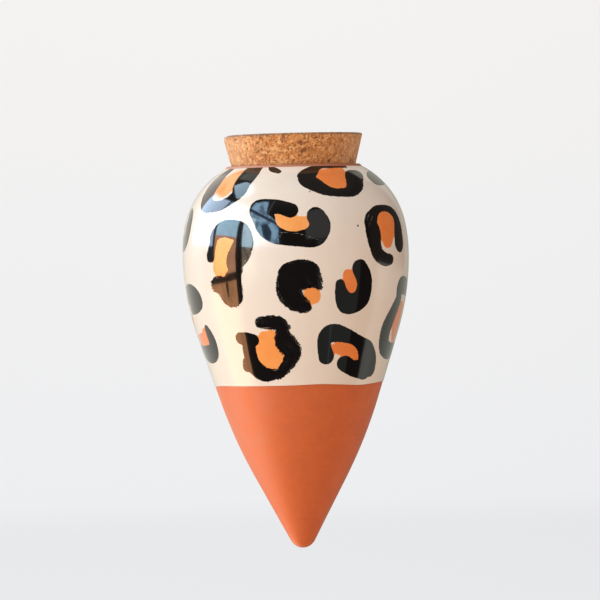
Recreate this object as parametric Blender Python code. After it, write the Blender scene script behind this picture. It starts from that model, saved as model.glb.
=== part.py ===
"""Irrigation olla: a hollow terracotta spike for a plant pot, glazed above the soil and closed by a cork.

Metres, +Z up. The origin is on the axis at the soil line, the level to which the bare cone is
pushed into the soil. The glazed belly stands above it and the tapered cork lifts out upwards.
"""

import math
from typing import NamedTuple

import bmesh
import bpy

# Clay form, in section. The straight cone and the straight flank join its arcs tangentially.
BELLY_RADIUS = 0.04375  # widest clay, under the glaze
BELLY_HEIGHT = 0.0507  # of the widest level above the soil line
LOWER_BELLY_ARC = 0.101
FLANK_ANGLE = math.radians(17.8)  # between the flank and the axis
FLANK_LENGTH = 0.026
HAUNCH_ARC = 0.190  # eases the flank into the cone
CONE_ANGLE = math.radians(28.0)  # between the cone and the axis
TIP_ARC = 0.0053
UPPER_BELLY_ARC = 0.0602
UPPER_BELLY_TURN = math.radians(10.3)
SHOULDER_ARC = 0.032

# Wall and the space for the water
WALL = 0.0045
WELL_ARC = 0.004  # rounds the bottom of the water space, and so sets how thick the tip is
RING_PITCH = 0.0105  # between the ridges that the potter's fingers leave inside
RING_DEPTH = 0.0005
RING_FADE = 0.012  # the ridges die out over this height at both ends

# Mouth
MOUTH_RADIUS = 0.0245  # of the cork's seat, at the lip
LIP_WIDTH = 0.0016
LIP_HEIGHT = 0.0008  # of bare clay above the end of the glaze
LIP_ROUNDING = 0.0004
SEAT_DEPTH = 0.0055
COLLAR_ROUNDING = 0.0012

# Glaze
GLAZE_THICKNESS = 0.0005
GLAZE_PROUD = 0.00025  # the glaze's surface above the bare clay's
GLAZE_GAP = 0.0003  # between the two solids
LINE_WAVES = ((2, 0.00025, 0.6), (5, 0.00015, 2.3))  # lobes, height and phase of the dipped edge
LINE_FADE = 0.006  # height over which the clay and the glaze follow those waves

# Cork
CORK_TAPER = math.radians(14.0)
CORK_HEIGHT = 0.020
CORK_STANDS = 0.012  # of its height above the lip
CORK_ROUNDING = 0.0006
SEAT_CLEARANCE = 0.0003

# Facets
SIDES = 48
SECTION_SAG = 0.00008  # most that a facet departs from its arc
INSIDE_STEP = 0.0027  # between the rings of points on the ridged inside

SOIL_LINE = 0.0
LEVEL_NORMAL = 0.0
TOP_NORMAL = math.radians(90.0)


class Arc(NamedTuple):
    """A round stretch of the wall in section, over which the outward normal climbs from start to end."""

    radius: float
    centre_r: float
    centre_z: float
    start: float
    end: float


class Station(NamedTuple):
    """A point of a section, with the direction in which the wall faces there."""

    r: float
    z: float
    normal: float


def beside(arc, normal, distance):
    """The centre of another arc that meets this one where it faces normal, after a straight of that length."""
    return (
        arc.centre_r + arc.radius * math.cos(normal) + distance * math.sin(normal),
        arc.centre_z + arc.radius * math.sin(normal) - distance * math.cos(normal),
    )


def joined_arc(before, radius, normal, end, straight=0.0):
    """The arc of that radius which carries on from another where both face normal, and turns to end."""
    r, z = beside(before, normal, straight)
    return Arc(radius, r - radius * math.cos(normal), z - radius * math.sin(normal), normal, end)


def turned_round(arc):
    return arc._replace(start=arc.end, end=arc.start)


def axial_arc(neighbour, radius, normal):
    """The arc centred on the axis whose straight common tangent with its neighbour faces normal."""
    depth = (neighbour.centre_r * math.cos(normal) + neighbour.radius - radius) / math.sin(normal)
    return Arc(radius, 0.0, neighbour.centre_z + depth, -TOP_NORMAL, normal)


def clay_arcs():
    """The clay form's arcs, from the tip up to the lip."""
    lower = Arc(
        LOWER_BELLY_ARC, BELLY_RADIUS - LOWER_BELLY_ARC, BELLY_HEIGHT, LEVEL_NORMAL, -FLANK_ANGLE
    )
    haunch = joined_arc(lower, HAUNCH_ARC, -FLANK_ANGLE, -CONE_ANGLE, FLANK_LENGTH)
    tip = axial_arc(haunch, TIP_ARC, -CONE_ANGLE)
    upper = Arc(
        UPPER_BELLY_ARC, BELLY_RADIUS - UPPER_BELLY_ARC, BELLY_HEIGHT, LEVEL_NORMAL, UPPER_BELLY_TURN
    )
    shoulder = joined_arc(upper, SHOULDER_ARC, UPPER_BELLY_TURN, TOP_NORMAL)
    lip_normal = math.acos((MOUTH_RADIUS + LIP_WIDTH - shoulder.centre_r) / SHOULDER_ARC)
    return [tip, turned_round(haunch), turned_round(lower), upper, shoulder._replace(end=lip_normal)]


def stations_along(arcs, offset):
    """The section of those arcs and the straights between them, moved outwards by offset."""
    stations = []
    for arc in arcs:
        radius = arc.radius + offset
        turn = 2.0 * math.acos(1.0 - SECTION_SAG / radius)
        steps = max(1, math.ceil((arc.end - arc.start) / turn))
        for step in range(steps + 1):
            normal = arc.start + (arc.end - arc.start) * step / steps
            station = Station(
                arc.centre_r + radius * math.cos(normal), arc.centre_z + radius * math.sin(normal), normal
            )
            if not stations or math.dist(station[:2], stations[-1][:2]) > SECTION_SAG:
                stations.append(station)
    return stations


def between(a, b, share):
    return Station(*(p + (q - p) * share for p, q in zip(a, b)))


def cut_where(stations, measure, level):
    """The stations up to and past the last place where measure crosses level, which both lists hold."""
    for i in range(len(stations) - 1, 0, -1):
        low, high = measure(stations[i - 1]) - level, measure(stations[i]) - level
        if low * high <= 0.0 and low != high:
            crossing = between(stations[i - 1], stations[i], low / (low - high))
            return stations[:i] + [crossing], [crossing] + stations[i:]
    raise ValueError("the section doesn't cross that level")


def height(station):
    return station.z


def radius_of(station):
    return station.r


def evenly(stations, step):
    """The same section with a point about every step along it."""
    spaced = [stations[0]]
    for a, b in zip(stations, stations[1:]):
        parts = max(1, round(math.dist(a[:2], b[:2]) / step))
        spaced += [between(a, b, k / parts) for k in range(1, parts + 1)]
    return spaced


def quarter(centre_r, centre_z, radius, start, end, steps=3):
    """Points of a small rounding as (r, z)."""
    turns = [start + (end - start) * k / steps for k in range(steps + 1)]
    return [(centre_r + radius * math.cos(t), centre_z + radius * math.sin(t)) for t in turns]


def points(stations):
    return [(s.r, s.z) for s in stations]


def lip_top():
    """Height of the lip, which the cork's seat is measured from."""
    return stations_along(clay_arcs(), 0.0)[-1].z + LIP_HEIGHT


def lip_section(lip_outer, top):
    """The lip's outer rounding, flat top, inner rounding and the tapered seat, down to the collar's end."""
    outer = quarter(lip_outer - LIP_ROUNDING, top - LIP_ROUNDING, LIP_ROUNDING, 0.0, TOP_NORMAL)
    inner = quarter(
        MOUTH_RADIUS + LIP_ROUNDING, top - LIP_ROUNDING, LIP_ROUNDING, TOP_NORMAL, math.pi - CORK_TAPER
    )
    seat_r = MOUTH_RADIUS - SEAT_DEPTH * math.tan(CORK_TAPER)
    collar = quarter(
        seat_r + COLLAR_ROUNDING, top - SEAT_DEPTH, COLLAR_ROUNDING, math.pi - CORK_TAPER, 1.5 * math.pi
    )
    return outer + inner + collar


def inside_section():
    """The water space's section from the well at the tip up to the inner shoulder."""
    cone, *rest = clay_arcs()[1:]
    inner = [arc._replace(radius=arc.radius - WALL) for arc in (cone, *rest)]
    well = axial_arc(inner[0], WELL_ARC, -CONE_ANGLE)
    return stations_along([well, *inner], 0.0)


def vessel_section():
    """The closed section of the clay, from the outside of the tip over the lip to the well inside.

    Each point is (r, z, ridged), where ridged says whether the potter's ridges reach it.
    """
    recess = GLAZE_THICKNESS + GLAZE_GAP - GLAZE_PROUD
    bare, _ = cut_where(stations_along(clay_arcs(), 0.0), height, SOIL_LINE)
    _, under_glaze = cut_where(stations_along(clay_arcs(), -recess), height, SOIL_LINE)
    lip_outer = MOUTH_RADIUS + LIP_WIDTH
    under_glaze, _ = cut_where(under_glaze, radius_of, lip_outer)
    top = lip_top()
    lip = lip_section(lip_outer, top)
    collar_r, collar_z = lip[-1]
    inside, _ = cut_where(inside_section(), lambda s: s.z - s.r, collar_z - collar_r)
    outside = points(bare) + points(under_glaze) + lip
    return [(r, z, False) for r, z in outside] + [
        (s.r, s.z, True) for s in reversed(evenly(inside, INSIDE_STEP))
    ]


def glaze_section():
    """The closed section of the glaze, a skin from just above the soil line to the foot of the lip."""
    lip_outer = MOUTH_RADIUS + LIP_WIDTH

    def skin(offset):
        _, above = cut_where(stations_along(clay_arcs(), offset), height, SOIL_LINE + GLAZE_GAP)
        kept, _ = cut_where(above, radius_of, lip_outer + GLAZE_GAP)
        return points(kept)

    section = skin(GLAZE_PROUD) + skin(GLAZE_PROUD - GLAZE_THICKNESS)[::-1]
    return [(r, z, False) for r, z in section]


def line_wave(bearing):
    """Height of the dipped edge above the soil line at a bearing round the pot."""
    return sum(rise * math.sin(lobes * bearing + phase) for lobes, rise, phase in LINE_WAVES)


def fade(distance, reach):
    """1 at no distance, falling smoothly to 0 at reach."""
    share = min(1.0, abs(distance) / reach)
    return 1.0 - share * share * (3.0 - 2.0 * share)


def ridge(z, bearing, lowest, highest):
    """How far the potter's spiral ridge stands out of the inner wall at that height and bearing."""
    ends = (1.0 - fade(z - lowest, RING_FADE)) * (1.0 - fade(highest - z, RING_FADE))
    return ends * RING_DEPTH * 0.5 * (1.0 + math.cos(math.tau * z / RING_PITCH - bearing))


def turned_mesh(name, section, closed):
    """Spins a section once round the axis, then gives it the ridges and the wavy edge of hand work."""
    mesh = bmesh.new()
    ridged_layer = mesh.verts.layers.int.new("ridged")
    verts = []
    for r, z, ridged in section:
        vert = mesh.verts.new((r, 0.0, z))
        vert[ridged_layer] = ridged
        verts.append(vert)
    pairs = list(zip(verts, verts[1:])) + ([(verts[-1], verts[0])] if closed else [])
    edges = [mesh.edges.new(pair) for pair in pairs]
    bmesh.ops.spin(
        mesh,
        geom=verts + edges,
        axis=(0.0, 0.0, 1.0),
        cent=(0.0, 0.0, 0.0),
        angle=math.tau,
        steps=SIDES,
        use_merge=True,
    )
    bmesh.ops.remove_doubles(mesh, verts=mesh.verts, dist=SECTION_SAG / 10.0)
    ridged_heights = [v.co.z for v in mesh.verts if v[ridged_layer]]
    for vert in mesh.verts:
        bearing = math.atan2(vert.co.y, vert.co.x)
        if vert[ridged_layer]:
            inwards = ridge(vert.co.z, bearing, min(ridged_heights), max(ridged_heights))
            vert.co.xy *= 1.0 - inwards / max(vert.co.xy.length, RING_DEPTH)
        else:
            rise = line_wave(bearing) * fade(vert.co.z - SOIL_LINE, LINE_FADE)
            vert.co.z += rise
            vert.co.xy *= 1.0 + rise * math.tan(FLANK_ANGLE) / max(vert.co.xy.length, TIP_ARC)
    bmesh.ops.recalc_face_normals(mesh, faces=mesh.faces)
    return finished(name, mesh)


def finished(name, mesh):
    """Writes the bmesh to a mesh that shades smoothly except over its real edges."""
    data = bpy.data.meshes.new(name)
    mesh.to_mesh(data)
    mesh.free()
    data.shade_smooth()
    data.set_sharp_from_angle(angle=math.radians(35.0))
    return data


def material(name, colour, roughness):
    """A plain finish. The colour is linear red, green and blue."""
    made = bpy.data.materials.new(name)
    made.use_nodes = True
    shader = made.node_tree.nodes["Principled BSDF"]
    shader.inputs["Base Color"].default_value = (*colour, 1.0)
    shader.inputs["Roughness"].default_value = roughness
    shader.inputs["Metallic"].default_value = 0.0
    return made


def add_object(name, data, finish, z=0.0):
    """Puts a mesh in the scene under its node's name, on the axis at height z."""
    made = bpy.data.objects.new(name, data)
    made.location.z = z
    data.materials.append(finish)
    bpy.context.scene.collection.objects.link(made)
    return made


def add_vessel():
    """The fired clay body: solid tip, hollow cone and belly, mouth with the cork's tapered seat."""
    clay = material("terracotta", (0.62, 0.19, 0.075), 0.85)
    return add_object("terracotta_vessel", turned_mesh("vessel", vessel_section(), False), clay)


def add_glaze():
    """The fired glaze on the belly and shoulder, a thin closed skin in a shallow recess of the clay."""
    cream = material("cream_glaze", (0.82, 0.70, 0.57), 0.15)
    return add_object("glaze_coat", turned_mesh("glaze", glaze_section(), True), cream)


def add_cork():
    """The tapered cork. Its origin is on its lifting axis at the level of the lip."""
    slope = math.tan(CORK_TAPER)
    at_lip = MOUTH_RADIUS - SEAT_CLEARANCE / math.cos(CORK_TAPER)
    sunk = CORK_HEIGHT - CORK_STANDS
    mesh = bmesh.new()
    bmesh.ops.create_cone(
        mesh,
        cap_ends=True,
        segments=SIDES,
        radius1=at_lip - sunk * slope,
        radius2=at_lip + CORK_STANDS * slope,
        depth=CORK_HEIGHT,
    )
    bmesh.ops.translate(mesh, verts=mesh.verts, vec=(0.0, 0.0, CORK_HEIGHT / 2.0 - sunk))
    tan_cork = material("agglomerated_cork", (0.56, 0.31, 0.15), 0.9)
    cork = add_object("cork_stopper", finished("cork", mesh), tan_cork, lip_top())
    rounding = cork.modifiers.new("worn_edges", "BEVEL")
    rounding.width = CORK_ROUNDING
    rounding.segments = 3
    rounding.limit_method = "ANGLE"
    rounding.angle_limit = math.radians(40.0)
    return cork


def main():
    for old in list(bpy.data.objects):
        bpy.data.objects.remove(old)
    add_vessel()
    add_glaze()
    add_cork()


main()
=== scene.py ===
"""Looks of an irrigation olla: bare terracotta spike, painted cream glaze and a cork of pressed granules.

Metres, +Z up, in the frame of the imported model, whose origin is on the axis at the soil line.
A bearing is an angle round the axis that is 0 towards the camera and grows to the camera's right.
"""

import logging
import math
from dataclasses import dataclass, field
from enum import Enum, IntEnum
from typing import Callable, NamedTuple, Optional, Sequence, Union

import bpy
import numpy as np
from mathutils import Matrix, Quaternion, Vector


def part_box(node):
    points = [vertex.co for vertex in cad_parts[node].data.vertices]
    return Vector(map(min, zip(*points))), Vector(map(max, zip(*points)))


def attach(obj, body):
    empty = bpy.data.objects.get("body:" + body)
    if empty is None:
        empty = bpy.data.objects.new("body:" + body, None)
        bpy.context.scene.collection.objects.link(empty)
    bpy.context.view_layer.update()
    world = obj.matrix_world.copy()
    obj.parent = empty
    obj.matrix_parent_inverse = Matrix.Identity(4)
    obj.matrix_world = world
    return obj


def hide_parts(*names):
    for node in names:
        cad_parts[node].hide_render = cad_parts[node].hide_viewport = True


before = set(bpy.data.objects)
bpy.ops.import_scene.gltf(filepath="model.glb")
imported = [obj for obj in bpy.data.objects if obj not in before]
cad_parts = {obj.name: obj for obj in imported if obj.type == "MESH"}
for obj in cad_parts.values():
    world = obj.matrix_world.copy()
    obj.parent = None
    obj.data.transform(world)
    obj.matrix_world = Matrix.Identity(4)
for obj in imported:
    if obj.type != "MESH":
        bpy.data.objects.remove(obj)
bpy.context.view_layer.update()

log = logging.getLogger("olla")

MM = 0.001
TURN = 2.0 * math.pi
FAR = 9.0  # beyond every distance that is worked out, to a mark in mm or to a granule in boxes
ARC_STEP = 0.004  # radians between the rows of an arc
SAME_PLACE = 1e-7  # metres between rows that count as one
AXIS_PRIMES = (73856093, 19349663, 83492791)
MIX_FACTORS = (0xFF51AFD7ED558CCD, 0xC4CEB9FE1A85EC53)
SEED_FACTOR = 2654435761
TONE_SEED = 7  # added to a seed for the granules' own random number

Socket = bpy.types.NodeSocket
Value = Union[float, Sequence[float], Socket]
Colour = tuple[float, float, float]


def smoothstep(low: float, high: float, x: np.ndarray) -> np.ndarray:
    """0 below low and 1 above high, with the cubic 3t² − 2t³ between them."""
    t = np.clip((x - low) / (high - low), 0.0, 1.0)
    return t * t * (3.0 - 2.0 * t)


def hashed(cells: np.ndarray, seed: int) -> np.ndarray:
    """Random numbers from 0 to 1 that belong to the cells of a lattice.

    The three whole numbers of a cell are multiplied by large primes, joined by exclusive or, and mixed
    by two rounds of shift and multiply.

    Args:
        cells: Whole numbers, shape (..., 3).
        seed: Chooses one of many unlike patterns.

    Returns:
        One number for each cell, shape (...).
    """
    whole = cells.astype(np.int64).astype(np.uint64)
    mixed = np.uint64(seed * SEED_FACTOR + 1)
    for axis, prime in enumerate(AXIS_PRIMES):
        mixed = mixed ^ whole[..., axis] * np.uint64(prime)
    for factor in MIX_FACTORS:
        mixed = (mixed ^ (mixed >> np.uint64(33))) * np.uint64(factor)
    return (mixed >> np.uint64(40)).astype(float) / float(1 << 24)


def cloud(points: np.ndarray, size: float, seed: int) -> np.ndarray:
    """Smooth noise from −1 to 1: lattice values blended by 3t² − 2t³ along each axis.

    Args:
        points: Places in metres, shape (..., 3).
        size: Width of the noise's features, in metres.
        seed: Chooses the pattern.

    Returns:
        The noise at each place, shape (...).
    """
    scaled = points / size
    cell = np.floor(scaled)
    t = scaled - cell
    t = t * t * (3.0 - 2.0 * t)
    total = np.zeros(points.shape[:-1])
    for corner in np.ndindex(2, 2, 2):
        share = np.prod(np.where(np.array(corner) == 1, t, 1.0 - t), axis=-1)
        total += share * hashed(cell + np.array(corner), seed)
    return 2.0 * total - 1.0


class Noise(NamedTuple):
    """A layer of smooth noise: the width of its features in metres, how far it swings, and its seed."""

    size: float
    depth: float
    seed: int

    def at(self, points: np.ndarray) -> np.ndarray:
        """The noise from −depth to depth at each place."""
        return self.depth * cloud(points, self.size, self.seed)

    def below(self, points: np.ndarray) -> np.ndarray:
        """The noise sunk by its depth, so that it is never above 0."""
        return self.at(points) - self.depth


def granules(points: np.ndarray, size: float, seed: int) -> tuple[np.ndarray, np.ndarray, np.ndarray]:
    """Cells round one random point in each box of a lattice, as pressed granules lie.

    Args:
        points: Places in metres, shape (n, 3).
        size: Width of a lattice box, in metres.
        seed: Chooses the pattern.

    Returns:
        The distance to the nearest of those random points, how much further the next one is (both as
        shares of size), and a random number that belongs to the nearest one.
    """
    scaled = points / size
    home = np.floor(scaled)
    nearest = np.full(len(points), FAR)
    second = nearest.copy()
    tone = np.zeros(len(points))
    for step in np.ndindex(3, 3, 3):
        cell = home + np.array(step) - 1
        seat = np.stack([hashed(cell, seed + axis) for axis in range(3)], axis=-1)
        distance = np.linalg.norm(cell + seat - scaled, axis=-1)
        closer = distance < nearest
        second = np.where(closer, nearest, np.minimum(second, distance))
        tone = np.where(closer, hashed(cell, seed + TONE_SEED), tone)
        nearest = np.where(closer, distance, nearest)
    return nearest, second - nearest, tone


def through(points: np.ndarray, step: float) -> np.ndarray:
    """A smooth curve through points, as places about step apart.

    Each stretch is the cubic whose slope at a point is half the way between that point's neighbours.

    Args:
        points: The points, shape (n, k), whose first columns are lengths in the same unit as step.
        step: The distance between the places.

    Returns:
        The places, shape (m, k).
    """
    if len(points) == 1:
        return points
    led = np.vstack([2 * points[0] - points[1], points, 2 * points[-1] - points[-2]])
    places = []
    for a, b, c, d in zip(led, led[1:], led[2:], led[3:]):
        count = max(2, int(np.linalg.norm((c - b)[:2]) / step))
        t = np.linspace(0.0, 1.0, count, endpoint=False)[:, None]
        places.append(
            0.5 * (2 * b + (c - a) * t + (2 * a - 5 * b + 4 * c - d) * t**2 + (3 * b - a - 3 * c + d) * t**3)
        )
    return np.vstack([*places, points[-1:]])


class Arc(NamedTuple):
    """A round stretch of the wall in section, over which the outward normal climbs from start to end."""

    radius: float
    centre_r: float
    centre_z: float
    start: float
    end: float

    def swept(self, offset: float = 0.0) -> np.ndarray:
        """Rows of radius, height and normal along the arc: centre + (radius + offset)·(cos n, sin n).

        Args:
            offset: How far outside the arc the rows lie, in metres.

        Returns:
            The rows, shape (n, 3).
        """
        n = np.linspace(self.start, self.end, 1 + max(2, int(abs(self.end - self.start) / ARC_STEP)))
        reach = self.radius + offset
        return np.c_[self.centre_r + reach * np.cos(n), self.centre_z + reach * np.sin(n), n]

    def meeting(self, normal: float, radius: float, end: float, straight: float = 0.0) -> "Arc":
        """The arc that carries on from this one where both face normal, after a straight of that length.

        Args:
            normal: The normal that both arcs have where they meet, in radians.
            radius: The new arc's radius.
            end: The normal at the new arc's far end.
            straight: Length of the straight between the two.

        Returns:
            The new arc.
        """
        across, up = math.cos(normal), math.sin(normal)
        r = self.centre_r + (self.radius - radius) * across + straight * up
        z = self.centre_z + (self.radius - radius) * up - straight * across
        return Arc(radius, r, z, normal, end)

    def flipped(self) -> "Arc":
        """The same arc with its ends exchanged."""
        return self._replace(start=self.end, end=self.start)

    def axial(self, radius: float, normal: float) -> "Arc":
        """The arc round the axis, below this one, whose common straight tangent with it faces normal."""
        depth = (self.centre_r * math.cos(normal) + self.radius - radius) / math.sin(normal)
        return Arc(radius, 0.0, self.centre_z + depth, -math.pi / 2, normal)


@dataclass
class Section:
    """A line in the plane of radius and height, read by the length along it."""

    rows: np.ndarray  # radius, height and angle of the outward normal

    def __post_init__(self) -> None:
        """Drops rows that repeat, and measures the line."""
        steps = np.hypot(*np.diff(self.rows[:, :2], axis=0).T)
        self.rows = self.rows[np.r_[True, steps > SAME_PLACE]]
        steps = np.hypot(*np.diff(self.rows[:, :2], axis=0).T)
        self.lengths = np.r_[0.0, np.cumsum(steps)]

    @property
    def length(self) -> float:
        """Length of the whole line."""
        return float(self.lengths[-1])

    def at(self, length: np.ndarray) -> tuple[np.ndarray, np.ndarray, np.ndarray]:
        """Radius, height and normal at a length along the line, straight between its rows."""
        return tuple(np.interp(length, self.lengths, self.rows[:, k]) for k in range(3))

    def where_height(self, z: float) -> float:
        """Length along a line that climbs, at a height."""
        return float(np.interp(z, self.rows[:, 1], self.lengths))

    def where_radius(self, r: float) -> float:
        """Length at which the last stretch of the line, along which it narrows, comes to a radius."""
        last = np.argmax(self.rows[:, 0])
        return float(np.interp(-r, -self.rows[last:, 0], self.lengths[last:]))


def round_grid(rows: np.ndarray, columns: np.ndarray) -> np.ndarray:
    """Places on a turned surface: radius·sin, −radius·cos of the bearing, and height.

    Args:
        rows: Radius and height, shape (rows, columns, 2) or (rows, 1, 2).
        columns: Bearings in radians.

    Returns:
        Places, shape (rows, columns, 3).
    """
    r, z = rows[..., 0], rows[..., 1]
    x, y = r * np.sin(columns), -r * np.cos(columns)
    return np.stack([x, y, np.broadcast_to(z, x.shape)], axis=-1)


def direction(rise: np.ndarray, bearing: np.ndarray) -> np.ndarray:
    """Directions: (cos rise·sin bearing, −cos rise·cos bearing, sin rise).

    Args:
        rise: Angle above level, in radians.
        bearing: Angle round the axis, in radians.

    Returns:
        Unit vectors, shape (..., 3).
    """
    level = np.cos(rise)
    parts = np.broadcast_arrays(level * np.sin(bearing), -level * np.cos(bearing), np.sin(rise))
    return np.stack(parts, axis=-1)


def bearings(columns: int) -> np.ndarray:
    """That many even bearings, from −180° up."""
    return np.linspace(-math.pi, math.pi, columns, endpoint=False)


def revolved(rows: np.ndarray, columns: int) -> tuple[np.ndarray, ...]:
    """Bearings, and a section's radius, height and normal repeated for each of them."""
    return bearings(columns), *(np.repeat(rows[:, k:k + 1], columns, axis=1) for k in range(3))


def with_poles(numbers: dict[str, tuple[np.ndarray, float, float]]) -> dict[str, np.ndarray]:
    """A turned grid's numbers, each joined by its values at the two poles."""
    return {name: np.r_[grid.ravel(), first, last] for name, (grid, first, last) in numbers.items()}


def grid_faces(rows: int, columns: int, ring: bool) -> tuple[np.ndarray, np.ndarray]:
    """Corners of the faces that close a turned grid.

    Quads join each row to the next. The rows either run round in a ring, or end at two poles, which are
    the two last vertices and are joined to their rows by triangles.

    Args:
        rows: Number of rows in the grid.
        columns: Number of columns, which close on themselves.
        ring: Whether the last row joins the first.

    Returns:
        Quads, shape (n, 4), and triangles, shape (m, 3).
    """
    column = np.arange(columns)
    beside = (column + 1) % columns
    row = np.arange(rows if ring else rows - 1)[:, None] * columns
    above = (row + columns) % (rows * columns)
    quads = np.stack([row + column, row + beside, above + beside, above + column], axis=-1).reshape(-1, 4)
    if ring:
        return quads, np.zeros((0, 3), int)
    first, last = rows * columns, rows * columns + 1
    top = (rows - 1) * columns
    start = np.stack([beside, column, np.full(columns, first)], axis=-1)
    end = np.stack([top + column, top + beside, np.full(columns, last)], axis=-1)
    return quads, np.vstack([start, end])


@dataclass
class Surface:
    """A closed mesh under construction: places, faces and numbers that the finish reads."""

    name: str
    places: np.ndarray
    quads: np.ndarray
    triangles: np.ndarray
    numbers: dict[str, np.ndarray] = field(default_factory=dict)

    def built(self, finish: bpy.types.Material) -> bpy.types.Object:
        """Writes the arrays into a new smooth-shaded object at the origin, with its finish.

        Args:
            finish: The piece's material.

        Returns:
            The object.
        """
        mesh = bpy.data.meshes.new(self.name)
        mesh.vertices.add(len(self.places))
        mesh.vertices.foreach_set("co", self.places.astype(np.float32).ravel())
        corners = np.concatenate([self.quads.ravel(), self.triangles.ravel()]).astype(np.int32)
        sizes = np.r_[np.full(len(self.quads), 4), np.full(len(self.triangles), 3)]
        mesh.loops.add(len(corners))
        mesh.loops.foreach_set("vertex_index", corners)
        mesh.polygons.add(len(sizes))
        mesh.polygons.foreach_set("loop_start", (np.cumsum(sizes) - sizes).astype(np.int32))
        mesh.update(calc_edges=True)
        mesh.shade_smooth()
        for name, numbers in self.numbers.items():
            layer = mesh.attributes.new(name, "FLOAT", "POINT")
            layer.data.foreach_set("value", numbers.astype(np.float32).ravel())
        mesh.materials.append(finish)
        made = bpy.data.objects.new(self.name, mesh)
        bpy.context.scene.collection.objects.link(made)
        return made


class Graph:
    """Places and joins the nodes of one shader tree."""

    def __init__(self, tree: bpy.types.NodeTree) -> None:
        """Starts work on a tree."""
        self.tree = tree

    def add(self, kind: str, inputs: Optional[dict] = None, **settings: object) -> bpy.types.Node:
        """Adds a node.

        Args:
            kind: The node's type, without its leading ShaderNode.
            inputs: What each input gets: a number, a colour or another node's output.
            settings: The node's own properties.

        Returns:
            The node.
        """
        node = self.tree.nodes.new("ShaderNode" + kind)
        for name, setting in settings.items():
            setattr(node, name, setting)
        self.feed_all(node, inputs or {})
        return node

    def feed_all(self, node: bpy.types.Node, inputs: dict) -> None:
        """Feeds several inputs of a node, by name or by number."""
        for key, value in inputs.items():
            self.feed(node.inputs[key], value)

    def feed(self, socket: Socket, value: Value) -> None:
        """Links an output to a socket, or writes a constant on it."""
        if isinstance(value, Socket):
            self.tree.links.new(value, socket)
        elif isinstance(value, tuple) and len(value) == 3 and socket.type == "RGBA":
            socket.default_value = (*value, 1.0)
        else:
            socket.default_value = value

    def math(self, operation: str, a: Value, b: Value = 0.0, c: Value = 0.0) -> Socket:
        """The result of a sum on two or three values."""
        return self.add("Math", {0: a, 1: b, 2: c}, operation=operation).outputs[0]

    def times(self, a: Value, b: Value) -> Socket:
        """The product of two values."""
        return self.math("MULTIPLY", a, b)

    def vector(self, operation: str, inputs: dict) -> Socket:
        """The vector that a sum on vectors gives."""
        return self.add("VectorMath", inputs, operation=operation).outputs["Vector"]

    def span(self, value: Value, low: Value, high: Value, start: Value = 0.0, end: Value = 1.0) -> Socket:
        """A value carried smoothly from the range low to high into the range start to end."""
        inputs = {"Value": value, 1: low, 2: high, 3: start, 4: end}
        return self.add("MapRange", inputs, interpolation_type="SMOOTHSTEP").outputs[0]

    def mixed(self, share: Value, a: Value, b: Value, how: str = "MIX") -> Socket:
        """Colour a where share is 0 and b where it is 1."""
        node = self.add("Mix", {0: share, 6: a, 7: b}, data_type="RGBA", blend_type=how, clamp_factor=True)
        return node.outputs[2]

    def layered(self, base: Value, layers: Sequence[tuple[Value, Value]]) -> Socket:
        """Colours laid over a base one after another, each with its share from 0 to 1."""
        for share, colour in layers:
            base = self.mixed(share, base, colour)
        return base

    def place(self) -> Socket:
        """Object coordinates, in metres."""
        return self.add("TexCoord").outputs["Object"]

    def number(self, name: str) -> Socket:
        """A number that the mesh holds for each vertex."""
        return self.add("Attribute", attribute_name=name).outputs["Fac"]

    def noise(self, place: Value, size: float, detail: float = 2.0, rough: float = 0.5) -> Socket:
        """Noise from 0 to 1 whose features are size metres wide."""
        inputs = {"Vector": place, "Scale": 1.0 / size, "Detail": detail, "Roughness": rough}
        return self.add("TexNoise", inputs).outputs["Fac"]

    def warped(self, place: Value, size: float, reach: float) -> Socket:
        """A place moved by up to about reach metres along each axis, by noise size metres wide.

        Args:
            place: The place to move.
            size: Width of the noise's features, in metres.
            reach: How far it moves a place, in metres.

        Returns:
            The moved place.
        """
        inputs = {"Vector": place, "Scale": 1.0 / size, "Detail": 1.0}
        moved = self.add("TexNoise", inputs).outputs["Color"]
        centred = self.vector("SUBTRACT", {0: moved, 1: (0.5, 0.5, 0.5)})
        scaled = self.vector("SCALE", {0: centred, "Scale": 2.0 * reach})
        return self.vector("ADD", {0: place, 1: scaled})

    def grouped(self, group: bpy.types.NodeTree, place: Value, **numbers: Value) -> Socket:
        """What a node group gives at a place, with its other inputs as named."""
        return self.add("Group", {"Place": place, **numbers}, node_tree=group).outputs[0]


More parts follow.
